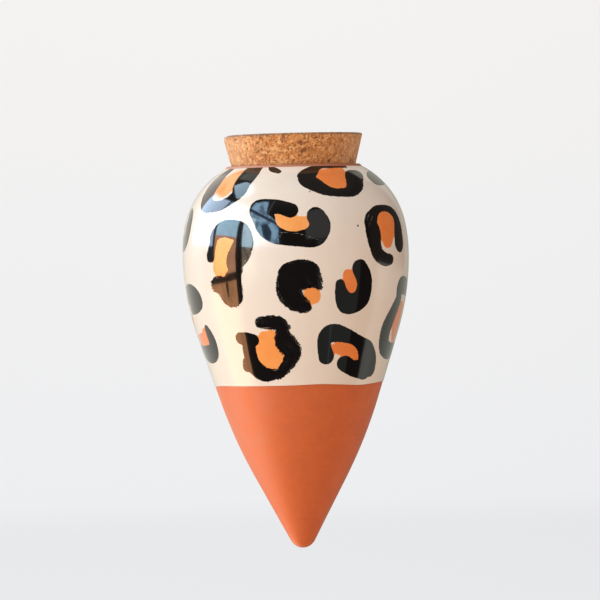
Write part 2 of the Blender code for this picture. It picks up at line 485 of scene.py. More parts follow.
class SharedEffects:
    """Node groups that more than one finish uses, each built once."""

    # For two noises: their size, the mm that they move a wet edge, and what a dry brush adds to that.
    BRUSH_WANDER = ((1.5 * MM, 0.40, 1.5), (0.55 * MM, 0.30, 2.6))
    BRUSH_SOFTNESS = 0.09  # mm on either side of a mark's edge

    def __init__(self) -> None:
        """Builds the groups."""
        self.mottle = self.group("mottle", ("Size",), "Value", self.mottle_nodes)
        self.pores = self.group("pores", ("Spacing", "Share", "Width"), "Mask", self.pore_nodes)
        self.edge = self.group("brushed_edge", ("Distance", "Dryness"), "Mask", self.edge_nodes)

    @staticmethod
    def group(name: str, numbers: Sequence[str], output: str, fill: Callable) -> bpy.types.NodeTree:
        """A shader group.

        Args:
            name: The group's name.
            numbers: The names of the inputs that are numbers. The first input is always Place, a vector.
            output: The name of its one output, a number.
            fill: Places its nodes, given the graph and the inputs, and returns the output.

        Returns:
            The group.
        """
        tree = bpy.data.node_groups.new(name, "ShaderNodeTree")
        tree.interface.new_socket("Place", in_out="INPUT", socket_type="NodeSocketVector")
        for label in numbers:
            tree.interface.new_socket(label, in_out="INPUT", socket_type="NodeSocketFloat")
        tree.interface.new_socket(output, in_out="OUTPUT", socket_type="NodeSocketFloat")
        entry, leave = tree.nodes.new("NodeGroupInput"), tree.nodes.new("NodeGroupOutput")
        graph = Graph(tree)
        graph.feed(leave.inputs[output], fill(graph, entry.outputs))
        return tree

    @staticmethod
    def mottle_nodes(graph: Graph, given: bpy.types.NodeOutputs) -> Socket:
        """Broad and fine noise, three parts to two, spread to fill 0 to 1.

        Args:
            graph: The group's graph.
            given: The group's inputs: Place and Size.

        Returns:
            The mottle, from 0 to 1.
        """
        scale = graph.math("DIVIDE", 1.0, given["Size"])
        fine = graph.times(scale, 4.7)
        layers = [
            graph.add("TexNoise", {"Vector": given["Place"], "Scale": s, "Detail": 3.0}).outputs["Fac"]
            for s in (scale, fine)
        ]
        joined = graph.add("Mix", {0: 0.4, 2: layers[0], 3: layers[1]}).outputs[0]
        return graph.span(joined, 0.32, 0.68)

    @staticmethod
    def pore_nodes(graph: Graph, given: bpy.types.NodeOutputs) -> Socket:
        """1 inside small round pores.

        Each cell of a Voronoi pattern draws a lot, and has a pore where that falls below Share.

        Args:
            graph: The group's graph.
            given: The group's inputs: Place, Spacing, Share and Width.

        Returns:
            The pores' mask.
        """
        scale = graph.math("DIVIDE", 1.0, given["Spacing"])
        cells = graph.add("TexVoronoi", {"Vector": given["Place"], "Scale": scale})
        lot = graph.add("SeparateColor", {"Color": cells.outputs["Color"]})
        there = graph.math("LESS_THAN", lot.outputs["Red"], given["Share"])
        width = graph.times(given["Width"], graph.span(lot.outputs["Green"], 0.0, 1.0, 0.4, 1.0))
        reach = graph.times(cells.outputs["Distance"], given["Spacing"])
        near, far = (graph.times(width, share) for share in (0.35, 0.6))
        return graph.times(graph.span(reach, near, far, 1.0, 0.0), there)

    @classmethod
    def edge_nodes(cls, graph: Graph, given: bpy.types.NodeOutputs) -> Socket:
        """1 inside a brush mark. Fine noise moves its edge, and more where the brush ran dry.

        Distance is in millimetres from the mark's edge, negative inside it.

        Args:
            graph: The group's graph.
            given: The group's inputs: Place, Distance and Dryness.

        Returns:
            The mark's mask.
        """
        moved = given["Distance"]
        for size, wet, dry in cls.BRUSH_WANDER:
            wander = graph.math("SUBTRACT", graph.noise(given["Place"], size, 2.0, 0.6), 0.5)
            reach = graph.math("MULTIPLY_ADD", given["Dryness"], dry, wet)
            moved = graph.math("MULTIPLY_ADD", wander, reach, moved)
        return graph.span(moved, -cls.BRUSH_SOFTNESS, cls.BRUSH_SOFTNESS, 1.0, 0.0)


def principled(name: str, **constants: Value) -> tuple[bpy.types.Material, Graph, bpy.types.Node]:
    """A material with its graph and its Principled shader, whose constants are written on the sockets.

    Args:
        name: The material's name.
        constants: The inputs' values, with _ for a space in a name.

    Returns:
        The material, its graph and its shader.
    """
    made = bpy.data.materials.new(name)
    made.use_nodes = True
    graph = Graph(made.node_tree)
    shader = made.node_tree.nodes["Principled BSDF"]
    graph.feed_all(shader, {socket.replace("_", " "): value for socket, value in constants.items()})
    return made, graph, shader


def bare_material(name: str) -> tuple[bpy.types.Material, Graph, Socket]:
    """A material with its graph and its surface socket, to which nothing is joined yet.

    Args:
        name: The material's name.

    Returns:
        The material, its graph and its surface socket.
    """
    made = bpy.data.materials.new(name)
    made.use_nodes = True
    nodes = made.node_tree.nodes
    nodes.remove(nodes["Principled BSDF"])
    return made, Graph(made.node_tree), nodes["Material Output"].inputs["Surface"]


@dataclass(frozen=True)
class ClayFinish:
    """Bare fired earthenware: an even orange red, fine grain, faint trimming lines and few pores."""

    light: Colour = (0.72, 0.126, 0.011)
    dark: Colour = (0.61, 0.093, 0.0075)
    fired_edge: Colour = (0.50, 0.085, 0.024)
    # lip: painted shade on the bare lip, under the cork's overhang
    lip: Colour = (0.40, 0.105, 0.024)
    # bloom: the pale bloom on the inner wall, and outside a painted highlight on the lit left of the upper
    # clay
    bloom_and_highlight: Colour = (0.80, 0.46, 0.31)
    haze: Colour = (0.72, 0.50, 0.37)
    roughness: float = 0.46
    dust: float = 0.04
    mottle_size: float = 9 * MM
    grain_size: float = 0.35 * MM
    trimming_size: float = 0.9 * MM
    trimming_drawn: tuple[float, float, float] = (0.02, 0.02, 1.0)  # out round the pot
    pore_spacing: float = 5.5 * MM
    pore_width: float = 0.55 * MM
    relief: float = 0.04 * MM
    # Of the two fired lines: how far below the glaze (mm), half width (mm) and share of their colour. The
    # first also stands in as a painted shadow under the glaze's edge.
    lines: tuple[tuple[float, float, float], ...] = ((0.1, 0.5, 0.45), (1.25, 0.45, 0.18))

    def made(self, effects: SharedEffects) -> bpy.types.Material:
        """The material. It reads how far below the glaze a place is, its bloom with a painted highlight on
        the lit left, its haze, and the lip, which it darkens as a painted shade under the cork.

        Args:
            effects: The shared node groups.

        Returns:
            The material.
        """
        made, graph, shader = principled(
            "terracotta_finish", Specular_IOR_Level=0.75, Sheen_Weight=self.dust, Sheen_Roughness=0.4
        )
        place = graph.place()
        mottle = graph.grouped(effects.mottle, place, Size=self.mottle_size)
        grain = graph.noise(place, self.grain_size, 3.0, 0.7)
        drawn = graph.add("Mapping", {"Vector": place, "Scale": self.trimming_drawn}).outputs[0]
        trimming = graph.noise(drawn, self.trimming_size, 4.0, 0.65)
        pores = {"Spacing": self.pore_spacing, "Share": 0.3, "Width": self.pore_width}
        pore = graph.grouped(effects.pores, place, **pores)
        base = graph.layered(self.light, (
            (graph.times(mottle, 0.55), self.dark),
            (graph.span(grain, 0.35, 0.7, 0.0, 0.14), self.dark),
            (graph.span(trimming, 0.45, 0.75, 0.0, 0.20), self.dark),
            (graph.times(pore, 0.45), self.fired_edge),
            (self.fired_lines_and_shadow(graph), self.fired_edge),
            # Painted shade: the lip is darkened where the cork overhangs it.
            (graph.times(graph.number("lip"), 0.90), self.lip),
            # The bloom colour also paints a highlight on the lit left of the upper clay.
            (graph.times(graph.number("bloom_and_highlight"), graph.span(mottle, 0.0, 1.0, 0.25, 0.75)), self.bloom_and_highlight),
            (graph.number("haze"), self.haze),
        ))
        relief = graph.math("MULTIPLY_ADD", trimming, 0.5, graph.times(grain, 0.35))
        relief = graph.math("SUBTRACT", relief, pore)
        bump = graph.add("Bump", {"Height": relief, "Strength": 0.5, "Distance": self.relief})
        graph.feed_all(shader, {
            "Base Color": base,
            "Roughness": graph.math("MULTIPLY_ADD", mottle, 0.08, self.roughness),
            "Normal": bump.outputs[0],
        })
        return made

    def fired_lines_and_shadow(self, graph: Graph) -> Socket:
        """The dark line under the glaze's foot, partly the mark it leaves on the clay and partly a painted
        shadow of the glaze's edge, and a fainter one a little below it.

        Args:
            graph: The material's graph.

        Returns:
            How strong the lines are at a place.
        """
        below = graph.number("below_glaze")
        lines = [
            graph.span(graph.math("ABSOLUTE", graph.math("SUBTRACT", below, depth)), 0.05, width, share, 0.0)
            for depth, width, share in self.lines
        ]
        return graph.math("ADD", *lines)


@dataclass(frozen=True)
class GlazeFinish:
    """Clear-coated cream glaze over brushed black and orange marks."""

    cream: Colour = (0.88, 0.745, 0.605)
    cream_thin: Colour = (0.84, 0.675, 0.520)
    black: Colour = (0.0050, 0.0042, 0.0038)
    black_thin: Colour = (0.040, 0.034, 0.030)
    orange: Colour = (0.90, 0.215, 0.038)
    # Paler orange: where the paint is thin, and a painted highlight on the spots of the lit left.
    orange_thin_and_lit: Colour = (0.98, 0.395, 0.098)
    speck: Colour = (0.25, 0.13, 0.08)
    cream_roughness: float = 0.13
    ink_roughness: float = 0.03
    wiped_roughness: float = 0.12
    wiped_coat: float = 0.80  # of the clear coat that is gone there
    mottle_size: float = 11 * MM
    thinning_size: float = 6.5 * MM  # of the patches in the orange
    speck_spacing: float = 9 * MM
    speck_width: float = 0.42 * MM
    streak_size: float = 0.9  # mm
    streak_drawn: tuple[float, float] = (0.12, 2.2)  # along a stroke and across it
    wiped_from: float = 0.0805  # height from which the glaze grows thinner and duller up to the lip
    wiped_to: float = 0.0830

    def made(self, effects: SharedEffects) -> bpy.types.Material:
        """The material. It reads each mark's signed distance in mm, and how dry its brush was.

        Black lies over orange, as it was painted last.

        Args:
            effects: The shared node groups.

        Returns:
            The material.
        """
        made, graph, shader = principled("cream_glaze_finish")
        place, distance = graph.place(), graph.number("black_edge")
        mottle = graph.grouped(effects.mottle, place, Size=self.mottle_size)
        specks = {"Spacing": self.speck_spacing, "Share": 0.12, "Width": self.speck_width}
        speck = graph.grouped(effects.pores, place, **specks)
        inked, black = self.black_paint(graph, effects, distance)
        base = graph.layered(self.cream, (
            (graph.times(mottle, 0.38), self.cream_thin),
            (speck, self.speck),
            self.orange_paint(graph, effects, distance),
            (inked, black),
        ))
        height = graph.add("SeparateXYZ", {0: place}).outputs["Z"]
        wiped = graph.span(height, self.wiped_from, self.wiped_to)
        smoother = self.ink_roughness - self.cream_roughness
        coat = graph.math("MULTIPLY_ADD", inked, smoother, self.cream_roughness)
        coat = graph.math("MULTIPLY_ADD", wiped, self.wiped_roughness, coat)
        graph.feed_all(shader, {
            "Base Color": base,
            "Coat Weight": graph.math("MULTIPLY_ADD", wiped, -self.wiped_coat, 1.0),
            "Coat Roughness": coat,
            "Roughness": graph.math("ADD", coat, 0.07),
            "Specular IOR Level": graph.math("MULTIPLY_ADD", wiped, -0.20, 0.5),
        })
        return made

    def orange_paint(self, graph: Graph, effects: SharedEffects, distance: Value) -> tuple[Socket, Socket]:
        """Where orange is, and its colour. It runs on up to black where the two nearly meet.

        Args:
            graph: The material's graph.
            effects: The shared node groups.
            distance: From the edge of the nearest black mark, in mm.

        Returns:
            The orange's mask, and its colour.
        """
        clouds = graph.grouped(effects.mottle, graph.place(), Size=self.thinning_size)
        # Paler orange: random thin patches, and per stroke a painted highlight on the lit left's spots.
        thinned_and_lit = graph.math("MULTIPLY_ADD", clouds, 0.25, graph.times(graph.number("orange_thin_and_lit"), 0.75))
        widened = graph.span(distance, 0.2, 0.7, 0.6, 0.0)
        edge = graph.math("SUBTRACT", graph.number("orange_edge"), widened)
        painted = graph.grouped(effects.edge, graph.place(), Distance=edge, Dryness=0.0)
        return painted, graph.mixed(thinned_and_lit, self.orange, self.orange_thin_and_lit)

    def black_paint(self, graph: Graph, effects: SharedEffects, distance: Value) -> tuple[Socket, Socket]:
        """Where black is, and its colour: streaked where the brush ran dry, with cream scratches.

        Args:
            graph: The material's graph.
            effects: The shared node groups.
            distance: From the edge of the nearest black mark, in mm.

        Returns:
            The black's mask, and its colour.
        """
        dryness = graph.number("dryness")
        streak = graph.noise(self.along_brush(graph), self.streak_size, 3.0, 0.6)
        thin = graph.times(graph.span(streak, 0.56, 0.72), graph.span(dryness, 0.0, 0.6, 0.06, 0.8))
        scratch = graph.span(graph.number("scratch"), -0.10, 0.10, 0.42, 0.0)
        scratch = graph.times(scratch, graph.span(streak, 0.38, 0.58, 0.12, 1.0))
        black = graph.layered(self.black, ((thin, self.black_thin), (scratch, self.cream)))
        bare = graph.times(graph.span(streak, 0.56, 0.66), graph.span(distance, -1.1, -0.2))
        covered = graph.math("SUBTRACT", 1.0, graph.times(bare, dryness))
        inked = graph.grouped(effects.edge, graph.place(), Distance=distance, Dryness=dryness)
        return graph.times(inked, covered), black

    def along_brush(self, graph: Graph) -> Socket:
        """Coordinates in mm that run slowly along a stroke and quickly across it.

        Args:
            graph: The material's graph.

        Returns:
            The coordinates, for a noise to be looked up at.
        """
        slow, quick = self.streak_drawn
        along = graph.times(graph.number("brush_along"), slow)
        across = graph.times(graph.number("brush_across"), quick)
        return graph.add("CombineXYZ", {"X": along, "Y": across}).outputs[0]


@dataclass(frozen=True)
class CorkFinish:
    """Cork granules pressed together: pale and red brown grains, small dark flecks, a worn rim and a painted
    sheen along the outline.
    """

    pale: Colour = (0.93, 0.475, 0.166)
    middle: Colour = (0.72, 0.246, 0.049)
    red: Colour = (0.47, 0.135, 0.022)
    fleck: Colour = (0.23, 0.060, 0.009)
    worn: Colour = (0.17, 0.080, 0.036)
    painted_edge_sheen: Colour = (1.0, 0.70, 0.42)  # a painted sheen that pales the grains along the outline
    granule: float = 0.00125
    crumb: float = 0.00056
    grain: float = 0.0016  # between the dark gaps
    gap_patch: float = 1.9 * MM  # width of the patches in which those gaps show
    fibre_size: float = 0.30 * MM
    torn_size: float = 1.5 * MM
    patch_size: float = 3.5 * MM
    warp: tuple[float, float] = (0.7 * MM, 0.5 * MM)  # width and reach of what bends the grains' outlines
    void_spacing: float = 2.2 * MM
    void_width: float = 0.5 * MM
    relief: float = 0.16 * MM

    def made(self, effects: SharedEffects) -> bpy.types.Material:
        """The material. It reads the granules' tone, gap and pits, which shape the mesh too.

        Args:
            effects: The shared node groups.

        Returns:
            The material.
        """
        made, graph, shader = principled(
            "cork_finish", Roughness=0.66, Specular_IOR_Level=0.35,
            Sheen_Weight=0.20, Sheen_Roughness=0.45, Sheen_Tint=(1.0, 0.80, 0.55),
        )
        place = graph.place()
        fine = graph.noise(place, self.fibre_size, 3.0, 0.65)
        torn = graph.noise(place, self.torn_size, 3.0, 0.7)
        warped = graph.warped(place, *self.warp)
        patch = graph.grouped(effects.mottle, place, Size=self.patch_size)
        granule, crumb = (self.tone(graph, warped, size) for size in (self.granule, self.crumb))
        voids = {"Spacing": self.void_spacing, "Share": 0.06, "Width": self.void_width}
        void = graph.math("MAXIMUM", graph.grouped(effects.pores, place, **voids), graph.number("pit"))
        edge_facing = graph.add("LayerWeight", {"Blend": 0.4}).outputs["Facing"]
        base = graph.layered(self.pale, (
            (graph.span(granule, 0.15, 0.85), self.middle),
            (graph.span(graph.number("granule_tone"), 0.55, 0.95, 0.0, 0.50), self.red),
            (graph.span(crumb, 0.60, 0.85, 0.0, 0.45), self.red),
            (graph.span(crumb, 0.02, 0.22, 0.50, 0.0), self.pale),
            (graph.span(fine, 0.50, 0.72, 0.0, 0.50), self.red),
            (graph.span(graph.math("MULTIPLY_ADD", patch, 0.34, crumb), 1.06, 1.13, 0.0, 0.80), self.fleck),
            (graph.span(torn, 0.60, 0.68, 0.0, 0.75), self.fleck),
            (graph.span(graph.number("granule_gap"), 0.02, 0.20, 0.40, 0.0), self.red),
            (graph.times(void, 0.65), self.fleck),
            (self.crevice(graph, warped, place), self.fleck),
            # A painted sheen: paler towards the outline, where the surface turns away.
            (graph.span(edge_facing, 0.05, 0.50, 0.0, 0.20), self.painted_edge_sheen),
            (graph.times(graph.number("rim"), graph.span(fine, 0.32, 0.58, 0.65, 1.0)), self.worn),
        ))
        relief = graph.math("SUBTRACT", graph.math("MULTIPLY_ADD", crumb, -0.35, fine), void)
        bump = graph.add("Bump", {"Height": relief, "Strength": 0.7, "Distance": self.relief})
        graph.feed_all(shader, {"Base Color": base, "Normal": bump.outputs[0]})
        return made

    def crevice(self, graph: Graph, warped: Value, place: Value) -> Socket:
        """The dark curved gaps that show between some of the grains, as a share from 0 to 0.8.

        Args:
            graph: The material's graph.
            warped: The place that the grains are drawn at.
            place: The place itself.

        Returns:
            The gaps' share of the colour.
        """
        pattern = {"Vector": warped, "Scale": 1.0 / self.grain}
        cells = graph.add("TexVoronoi", pattern, feature="DISTANCE_TO_EDGE")
        line = graph.span(cells.outputs["Distance"], 0.03, 0.13, 1.0, 0.0)
        some = graph.span(graph.noise(place, self.gap_patch, 2.0, 0.6), 0.46, 0.60)
        return graph.times(graph.times(line, some), 0.80)

    @staticmethod
    def tone(graph: Graph, place: Value, size: float) -> Socket:
        """A random number for each grain of a Voronoi pattern, whose grains are size metres wide."""
        cells = graph.add("TexVoronoi", {"Vector": place, "Scale": 1.0 / size})
        return graph.add("SeparateColor", {"Color": cells.outputs["Color"]}).outputs["Red"]


@dataclass(frozen=True)
class PotForm:
    """The clay form in section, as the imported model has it, and what the surfaces add to it."""

    belly_radius: float = 0.04375
    belly_height: float = 0.0507
    lower_belly_arc: float = 0.101
    flank_angle: float = math.radians(17.8)
    flank_length: float = 0.026
    haunch_arc: float = 0.190
    cone_angle: float = math.radians(28.0)
    tip_arc: float = 0.0053
    upper_belly_arc: float = 0.0602
    upper_belly_turn: float = math.radians(10.3)
    shoulder_arc: float = 0.032
    wall: float = 0.0045
    well_arc: float = 0.004
    mouth_radius: float = 0.0245
    lip_width: float = 0.0016
    lip_height: float = 0.0008
    lip_rounding: float = 0.0004
    seat_depth: float = 0.0055
    collar_rounding: float = 0.0012
    cork_taper: float = math.radians(14.0)
    line_places: tuple[tuple[float, float], ...] = (
        (-63, 0.29), (-30, 0.27), (-4, 0.33), (14, 0.54), (28, 0.19), (46, -0.34), (62, 0.03), (79, 0.43),
        (105, 0.10), (140, -0.30), (175, 0.05), (210, 0.35), (245, -0.05), (275, -0.25),
    )  # bearing in degrees and height in mm of the glaze's dipped edge
    line_step: float = 2.0  # degrees between the places on the curve through them
    line_fade: float = 0.006  # how far above and below its edge the glaze's waves are felt

    @property
    def lip_outer(self) -> float:
        """Outer radius of the bare lip."""
        return self.mouth_radius + self.lip_width

    def arcs(self) -> list[Arc]:
        """The clay form's arcs, from the tip up to the foot of the lip.

        Returns:
            Five arcs, in order.
        """
        lower = Arc(
            self.lower_belly_arc, self.belly_radius - self.lower_belly_arc, self.belly_height,
            0.0, -self.flank_angle,
        )
        haunch = lower.meeting(-self.flank_angle, self.haunch_arc, -self.cone_angle, self.flank_length)
        tip = haunch.axial(self.tip_arc, -self.cone_angle)
        upper = Arc(
            self.upper_belly_arc, self.belly_radius - self.upper_belly_arc, self.belly_height,
            0.0, self.upper_belly_turn,
        )
        shoulder = upper.meeting(self.upper_belly_turn, self.shoulder_arc, math.pi / 2)
        end = math.acos((self.lip_outer - shoulder.centre_r) / self.shoulder_arc)
        return [tip, haunch.flipped(), lower.flipped(), upper, shoulder._replace(end=end)]

    def outside(self, offset: float = 0.0) -> Section:
        """The outside from the tip to the foot of the lip, moved outwards by offset."""
        return Section(np.vstack([arc.swept(offset) for arc in self.arcs()]))

    def lip_top(self) -> float:
        """Height of the lip, which the cork's seat is measured from."""
        return float(self.outside().rows[-1, 1]) + self.lip_height

    def lip(self) -> Section:
        """The lip's outer rounding, flat top, inner rounding and tapered seat, down to the collar's end.

        Returns:
            The lip's section.
        """
        top, small = self.lip_top(), self.lip_rounding
        seat_r = self.mouth_radius - self.seat_depth * math.tan(self.cork_taper)
        facing_in = math.pi - self.cork_taper
        outer = Arc(small, self.lip_outer - small, top - small, 0.0, math.pi / 2)
        inner = Arc(small, self.mouth_radius + small, top - small, math.pi / 2, facing_in)
        round_r = self.collar_rounding
        collar = Arc(round_r, seat_r + round_r, top - self.seat_depth, facing_in, 1.5 * math.pi)
        return Section(np.vstack([arc.swept() for arc in (outer, inner, collar)]))

    def inside(self) -> Section:
        """The water space's wall, from the collar down to the well at the tip.

        Returns:
            The wall's section.
        """
        inner = [arc._replace(radius=arc.radius - self.wall) for arc in self.arcs()[1:]]
        well = inner[0].axial(self.well_arc, -self.cone_angle)
        rows = np.vstack([arc.swept() for arc in (well, *inner)])
        collar_r, collar_z, _ = self.lip().rows[-1]
        reach = rows[:, 1] - rows[:, 0] - (collar_z - collar_r)
        rows = rows[reach < 0.0][::-1]
        rows[:, 2] += math.pi
        return Section(rows)

    def line(self, bearing: np.ndarray) -> np.ndarray:
        """Height of the glaze's edge at each bearing: a periodic cubic through line_places.

        Args:
            bearing: Bearings in radians.

        Returns:
            A height in metres for each bearing.
        """
        places = np.array(self.line_places)
        turns = np.vstack([places - (360, 0), places, places + (360, 0)])
        curve = through(turns, self.line_step)
        order = np.argsort(curve[:, 0])
        return MM * np.interp(np.degrees(bearing), curve[order, 0], curve[order, 1])

    def near_line(self, distance: np.ndarray) -> np.ndarray:
        """1 at the glaze's edge, and smoothly down to 0 at line_fade above or below it."""
        return smoothstep(-self.line_fade, 0.0, -np.abs(distance))


class Part(IntEnum):
    """Which part of the wall a row of the clay's section belongs to."""

    OUTSIDE = 0
    LIP = 1
    INSIDE = 2


@dataclass
class ClayVessel:
    """The fired clay body, one closed surface from the outside of the tip over the lip to the well."""

    form: PotForm
    effects: SharedEffects
    finish: ClayFinish = ClayFinish()
    columns: int = 256
    recess: float = 0.00026  # under the glaze, whose underside lies just clear of the clay
    outside_step: float = 0.00065
    hidden_step: float = 0.004
    lip_step: float = 0.00030
    inside_step: float = 0.0011
    line_rows: tuple[float, ...] = (-0.35, -0.2, -0.1, -0.04, 0.0)  # mm from the glaze's edge
    first_hidden: float = 0.06 * MM  # beyond the edge, where the clay is under the glaze
    ring_pitch: float = 0.0105  # between the ridges that the potter's fingers leave inside
    ring_depth: float = 0.0005
    ring_fade: float = 0.012
    unevenness: tuple[Noise, ...] = (Noise(0.011, 0.05 * MM, 31), Noise(0.004, 0.015 * MM, 32))
    tip_raise: float = 0.002 * MM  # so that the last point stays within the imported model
    # A painted highlight: the clay just below the glaze on the lit left is made paler with the bloom colour.
    highlight_side: tuple[float, float] = (0.2, 0.65)  # sines of the bearings on the lit left, from none to full, of a painted highlight
    highlight_heights: tuple[float, float] = (-0.05, -0.02)  # heights of that painted highlight, from none to full
    highlight_share: float = 0.20
    inside_share: float = 0.75  # of the pale bloom on the inner wall
    haze_top: float = 0.00085  # below the lip's top, where the glaze's haze on it is full
    haze_outward: float = 0.3  # cosine of the normal from which it is full
    haze_share: float = 0.42
    haze_lit_side: float = 0.30  # more of it on the lit left, and less on the right: a painted highlight

    def rows(self) -> tuple[np.ndarray, np.ndarray]:
        """Rows of the section, and which part of the wall each one belongs to.

        Returns:
            The rows as radius, height and normal, shape (n, 3), and a Part for each, shape (n,).
        """
        outside = self.form.outside()
        line = outside.where_height(0.0)
        bare = np.arange(self.outside_step, line - self.outside_step / 2, self.outside_step)
        near = line + MM * np.array(self.line_rows)
        bare = np.r_[bare[bare < near[0]], near]
        count = int((outside.length - line) / self.hidden_step)
        hidden = np.linspace(line + self.first_hidden, outside.length, count)
        shown = np.stack(outside.at(bare), axis=-1)
        under = np.stack(self.form.outside(-self.recess).at(hidden), axis=-1)
        under = under[under[:, 0] > self.form.lip_outer]
        lip = self.evenly(self.form.lip(), self.lip_step)
        inside = self.evenly(self.form.inside(), self.inside_step)[1:-1]
        parts = np.repeat(list(Part), [len(shown) + len(under), len(lip), len(inside)])
        return np.vstack([shown, under, lip, inside]), parts

    @staticmethod
    def evenly(section: Section, step: float) -> np.ndarray:
        """Rows of a section about step apart, its two ends among them."""
        count = max(2, round(section.length / step) + 1)
        return np.stack(section.at(np.linspace(0.0, section.length, count)), axis=-1)

    def ridges(self, z: np.ndarray, bearing: np.ndarray) -> np.ndarray:
        """How far the spiral ridges stand off the inner wall: a cosine of height less bearing.

        They fade out over ring_fade at the top and the bottom of the wall.

        Args:
            z: Heights in metres.
            bearing: Bearings in radians.

        Returns:
            How far they stand off, in metres.
        """
        low, high = z.min(), z.max()
        ends = smoothstep(low, low + self.ring_fade, z) * smoothstep(-high, self.ring_fade - high, -z)
        lag = bearing - math.pi / 2
        return ends * self.ring_depth * 0.5 * (1.0 + np.cos(TURN * z / self.ring_pitch - lag))

    def surface(self) -> Surface:
        """The closed surface: the section turned, its glaze line waved and its inside ridged.

        Returns:
            The surface, with the numbers that the finish reads.
        """
        form = self.form
        rows, parts = self.rows()
        bearing, r, z, normal = revolved(rows, self.columns)
        outside, on_lip, inner = ((parts == each)[:, None] for each in Part)
        line = form.line(bearing)
        z = z + np.where(outside, line * form.near_line(z), 0.0)
        r = r + np.where(outside, line * form.near_line(z - line), 0.0) * math.tan(form.flank_angle)
        inside = inner[:, 0]
        ridge = self.ridges(z[inside], bearing)
        r[inside] += ridge * np.cos(normal[inside])
        z[inside] += ridge * np.sin(normal[inside])
        grid = round_grid(np.stack([r, z], axis=-1), bearing)
        wobble = np.where(on_lip, 0.0, sum(noise.below(grid) for noise in self.unevenness))
        grid[..., :2] += (wobble[..., None] * direction(normal, bearing))[..., :2]
        tip, well = form.outside().rows[0, 1], form.inside().rows[-1, 1]
        places = np.vstack([grid.reshape(-1, 3), (0, 0, tip + self.tip_raise), (0, 0, well)])
        # Painted highlight: paler upper clay on the lit left, carried in the bloom numbers.
        lit_left_highlight = smoothstep(*self.highlight_side, -np.sin(bearing)) * smoothstep(*self.highlight_heights, z)
        bloom_and_highlight = np.where(inner, self.inside_share, self.highlight_share * lit_left_highlight * outside)
        numbers = with_poles({
            "below_glaze": (np.where(outside, (line - z) / MM, FAR), FAR, FAR),
            "bloom_and_highlight": (bloom_and_highlight, 0.0, self.inside_share),
            "haze": (on_lip * self.lip_haze(bearing, z, normal), 0.0, 0.0),
            # lip marks the lip, which the finish darkens as a painted shade under the cork.
            "lip": (on_lip + 0.0 * z, 0.0, 0.0),
        })
        quads, triangles = grid_faces(len(rows), self.columns, ring=False)
        return Surface("clay_body", places, quads, triangles, numbers)

    def lip_haze(self, bearing: np.ndarray, z: np.ndarray, normal: np.ndarray) -> np.ndarray:
        """The glaze's pale haze low on the lip's outer side, with more of it on the lit left as a painted
        highlight.

        Args:
            bearing: Bearings in radians.
            z: Heights in metres.
            normal: The section's normals, in radians.

        Returns:
            The haze's share at each place.
        """
        top, outward = self.form.lip_top(), self.haze_outward
        haze = smoothstep(-top, self.haze_top - top, -z) * smoothstep(-outward, outward, np.cos(normal))
        return haze * (self.haze_share - self.haze_lit_side * np.sin(bearing))

    def built(self) -> bpy.types.Object:
        """The finished piece, which stands for the packed clay body.

        Returns:
            The object.
        """
        piece = self.surface().built(self.finish.made(self.effects))
        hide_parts("terracotta_vessel")
        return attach(piece, "vessel")


@dataclass(frozen=True)
class Stroke:
    """One pull of the brush, through points of bearing (°), height (mm) and half width (mm)."""

    path: tuple[tuple[float, float, float], ...]
    dryness: float = 0.0  # from 0 wet to 1 dry; on orange, how pale it is, for thin paint and as a painted highlight on the lit left's spots


@dataclass(frozen=True)
class Spot:
    """A leopard spot: black strokes round dabs of orange, and scratches left in the black."""

    black: tuple[Stroke, ...]
    orange: tuple[Stroke, ...] = ()
    scratches: tuple[Stroke, ...] = ()


@dataclass(frozen=True)
class Repeat:
    """A spot painted again elsewhere on the pot: where its middle goes, and how it is changed."""

    spot: str
    bearing: float
    height: float
    turned: float = 0.0
    mirrored: bool = False
    scale: float = 1.0


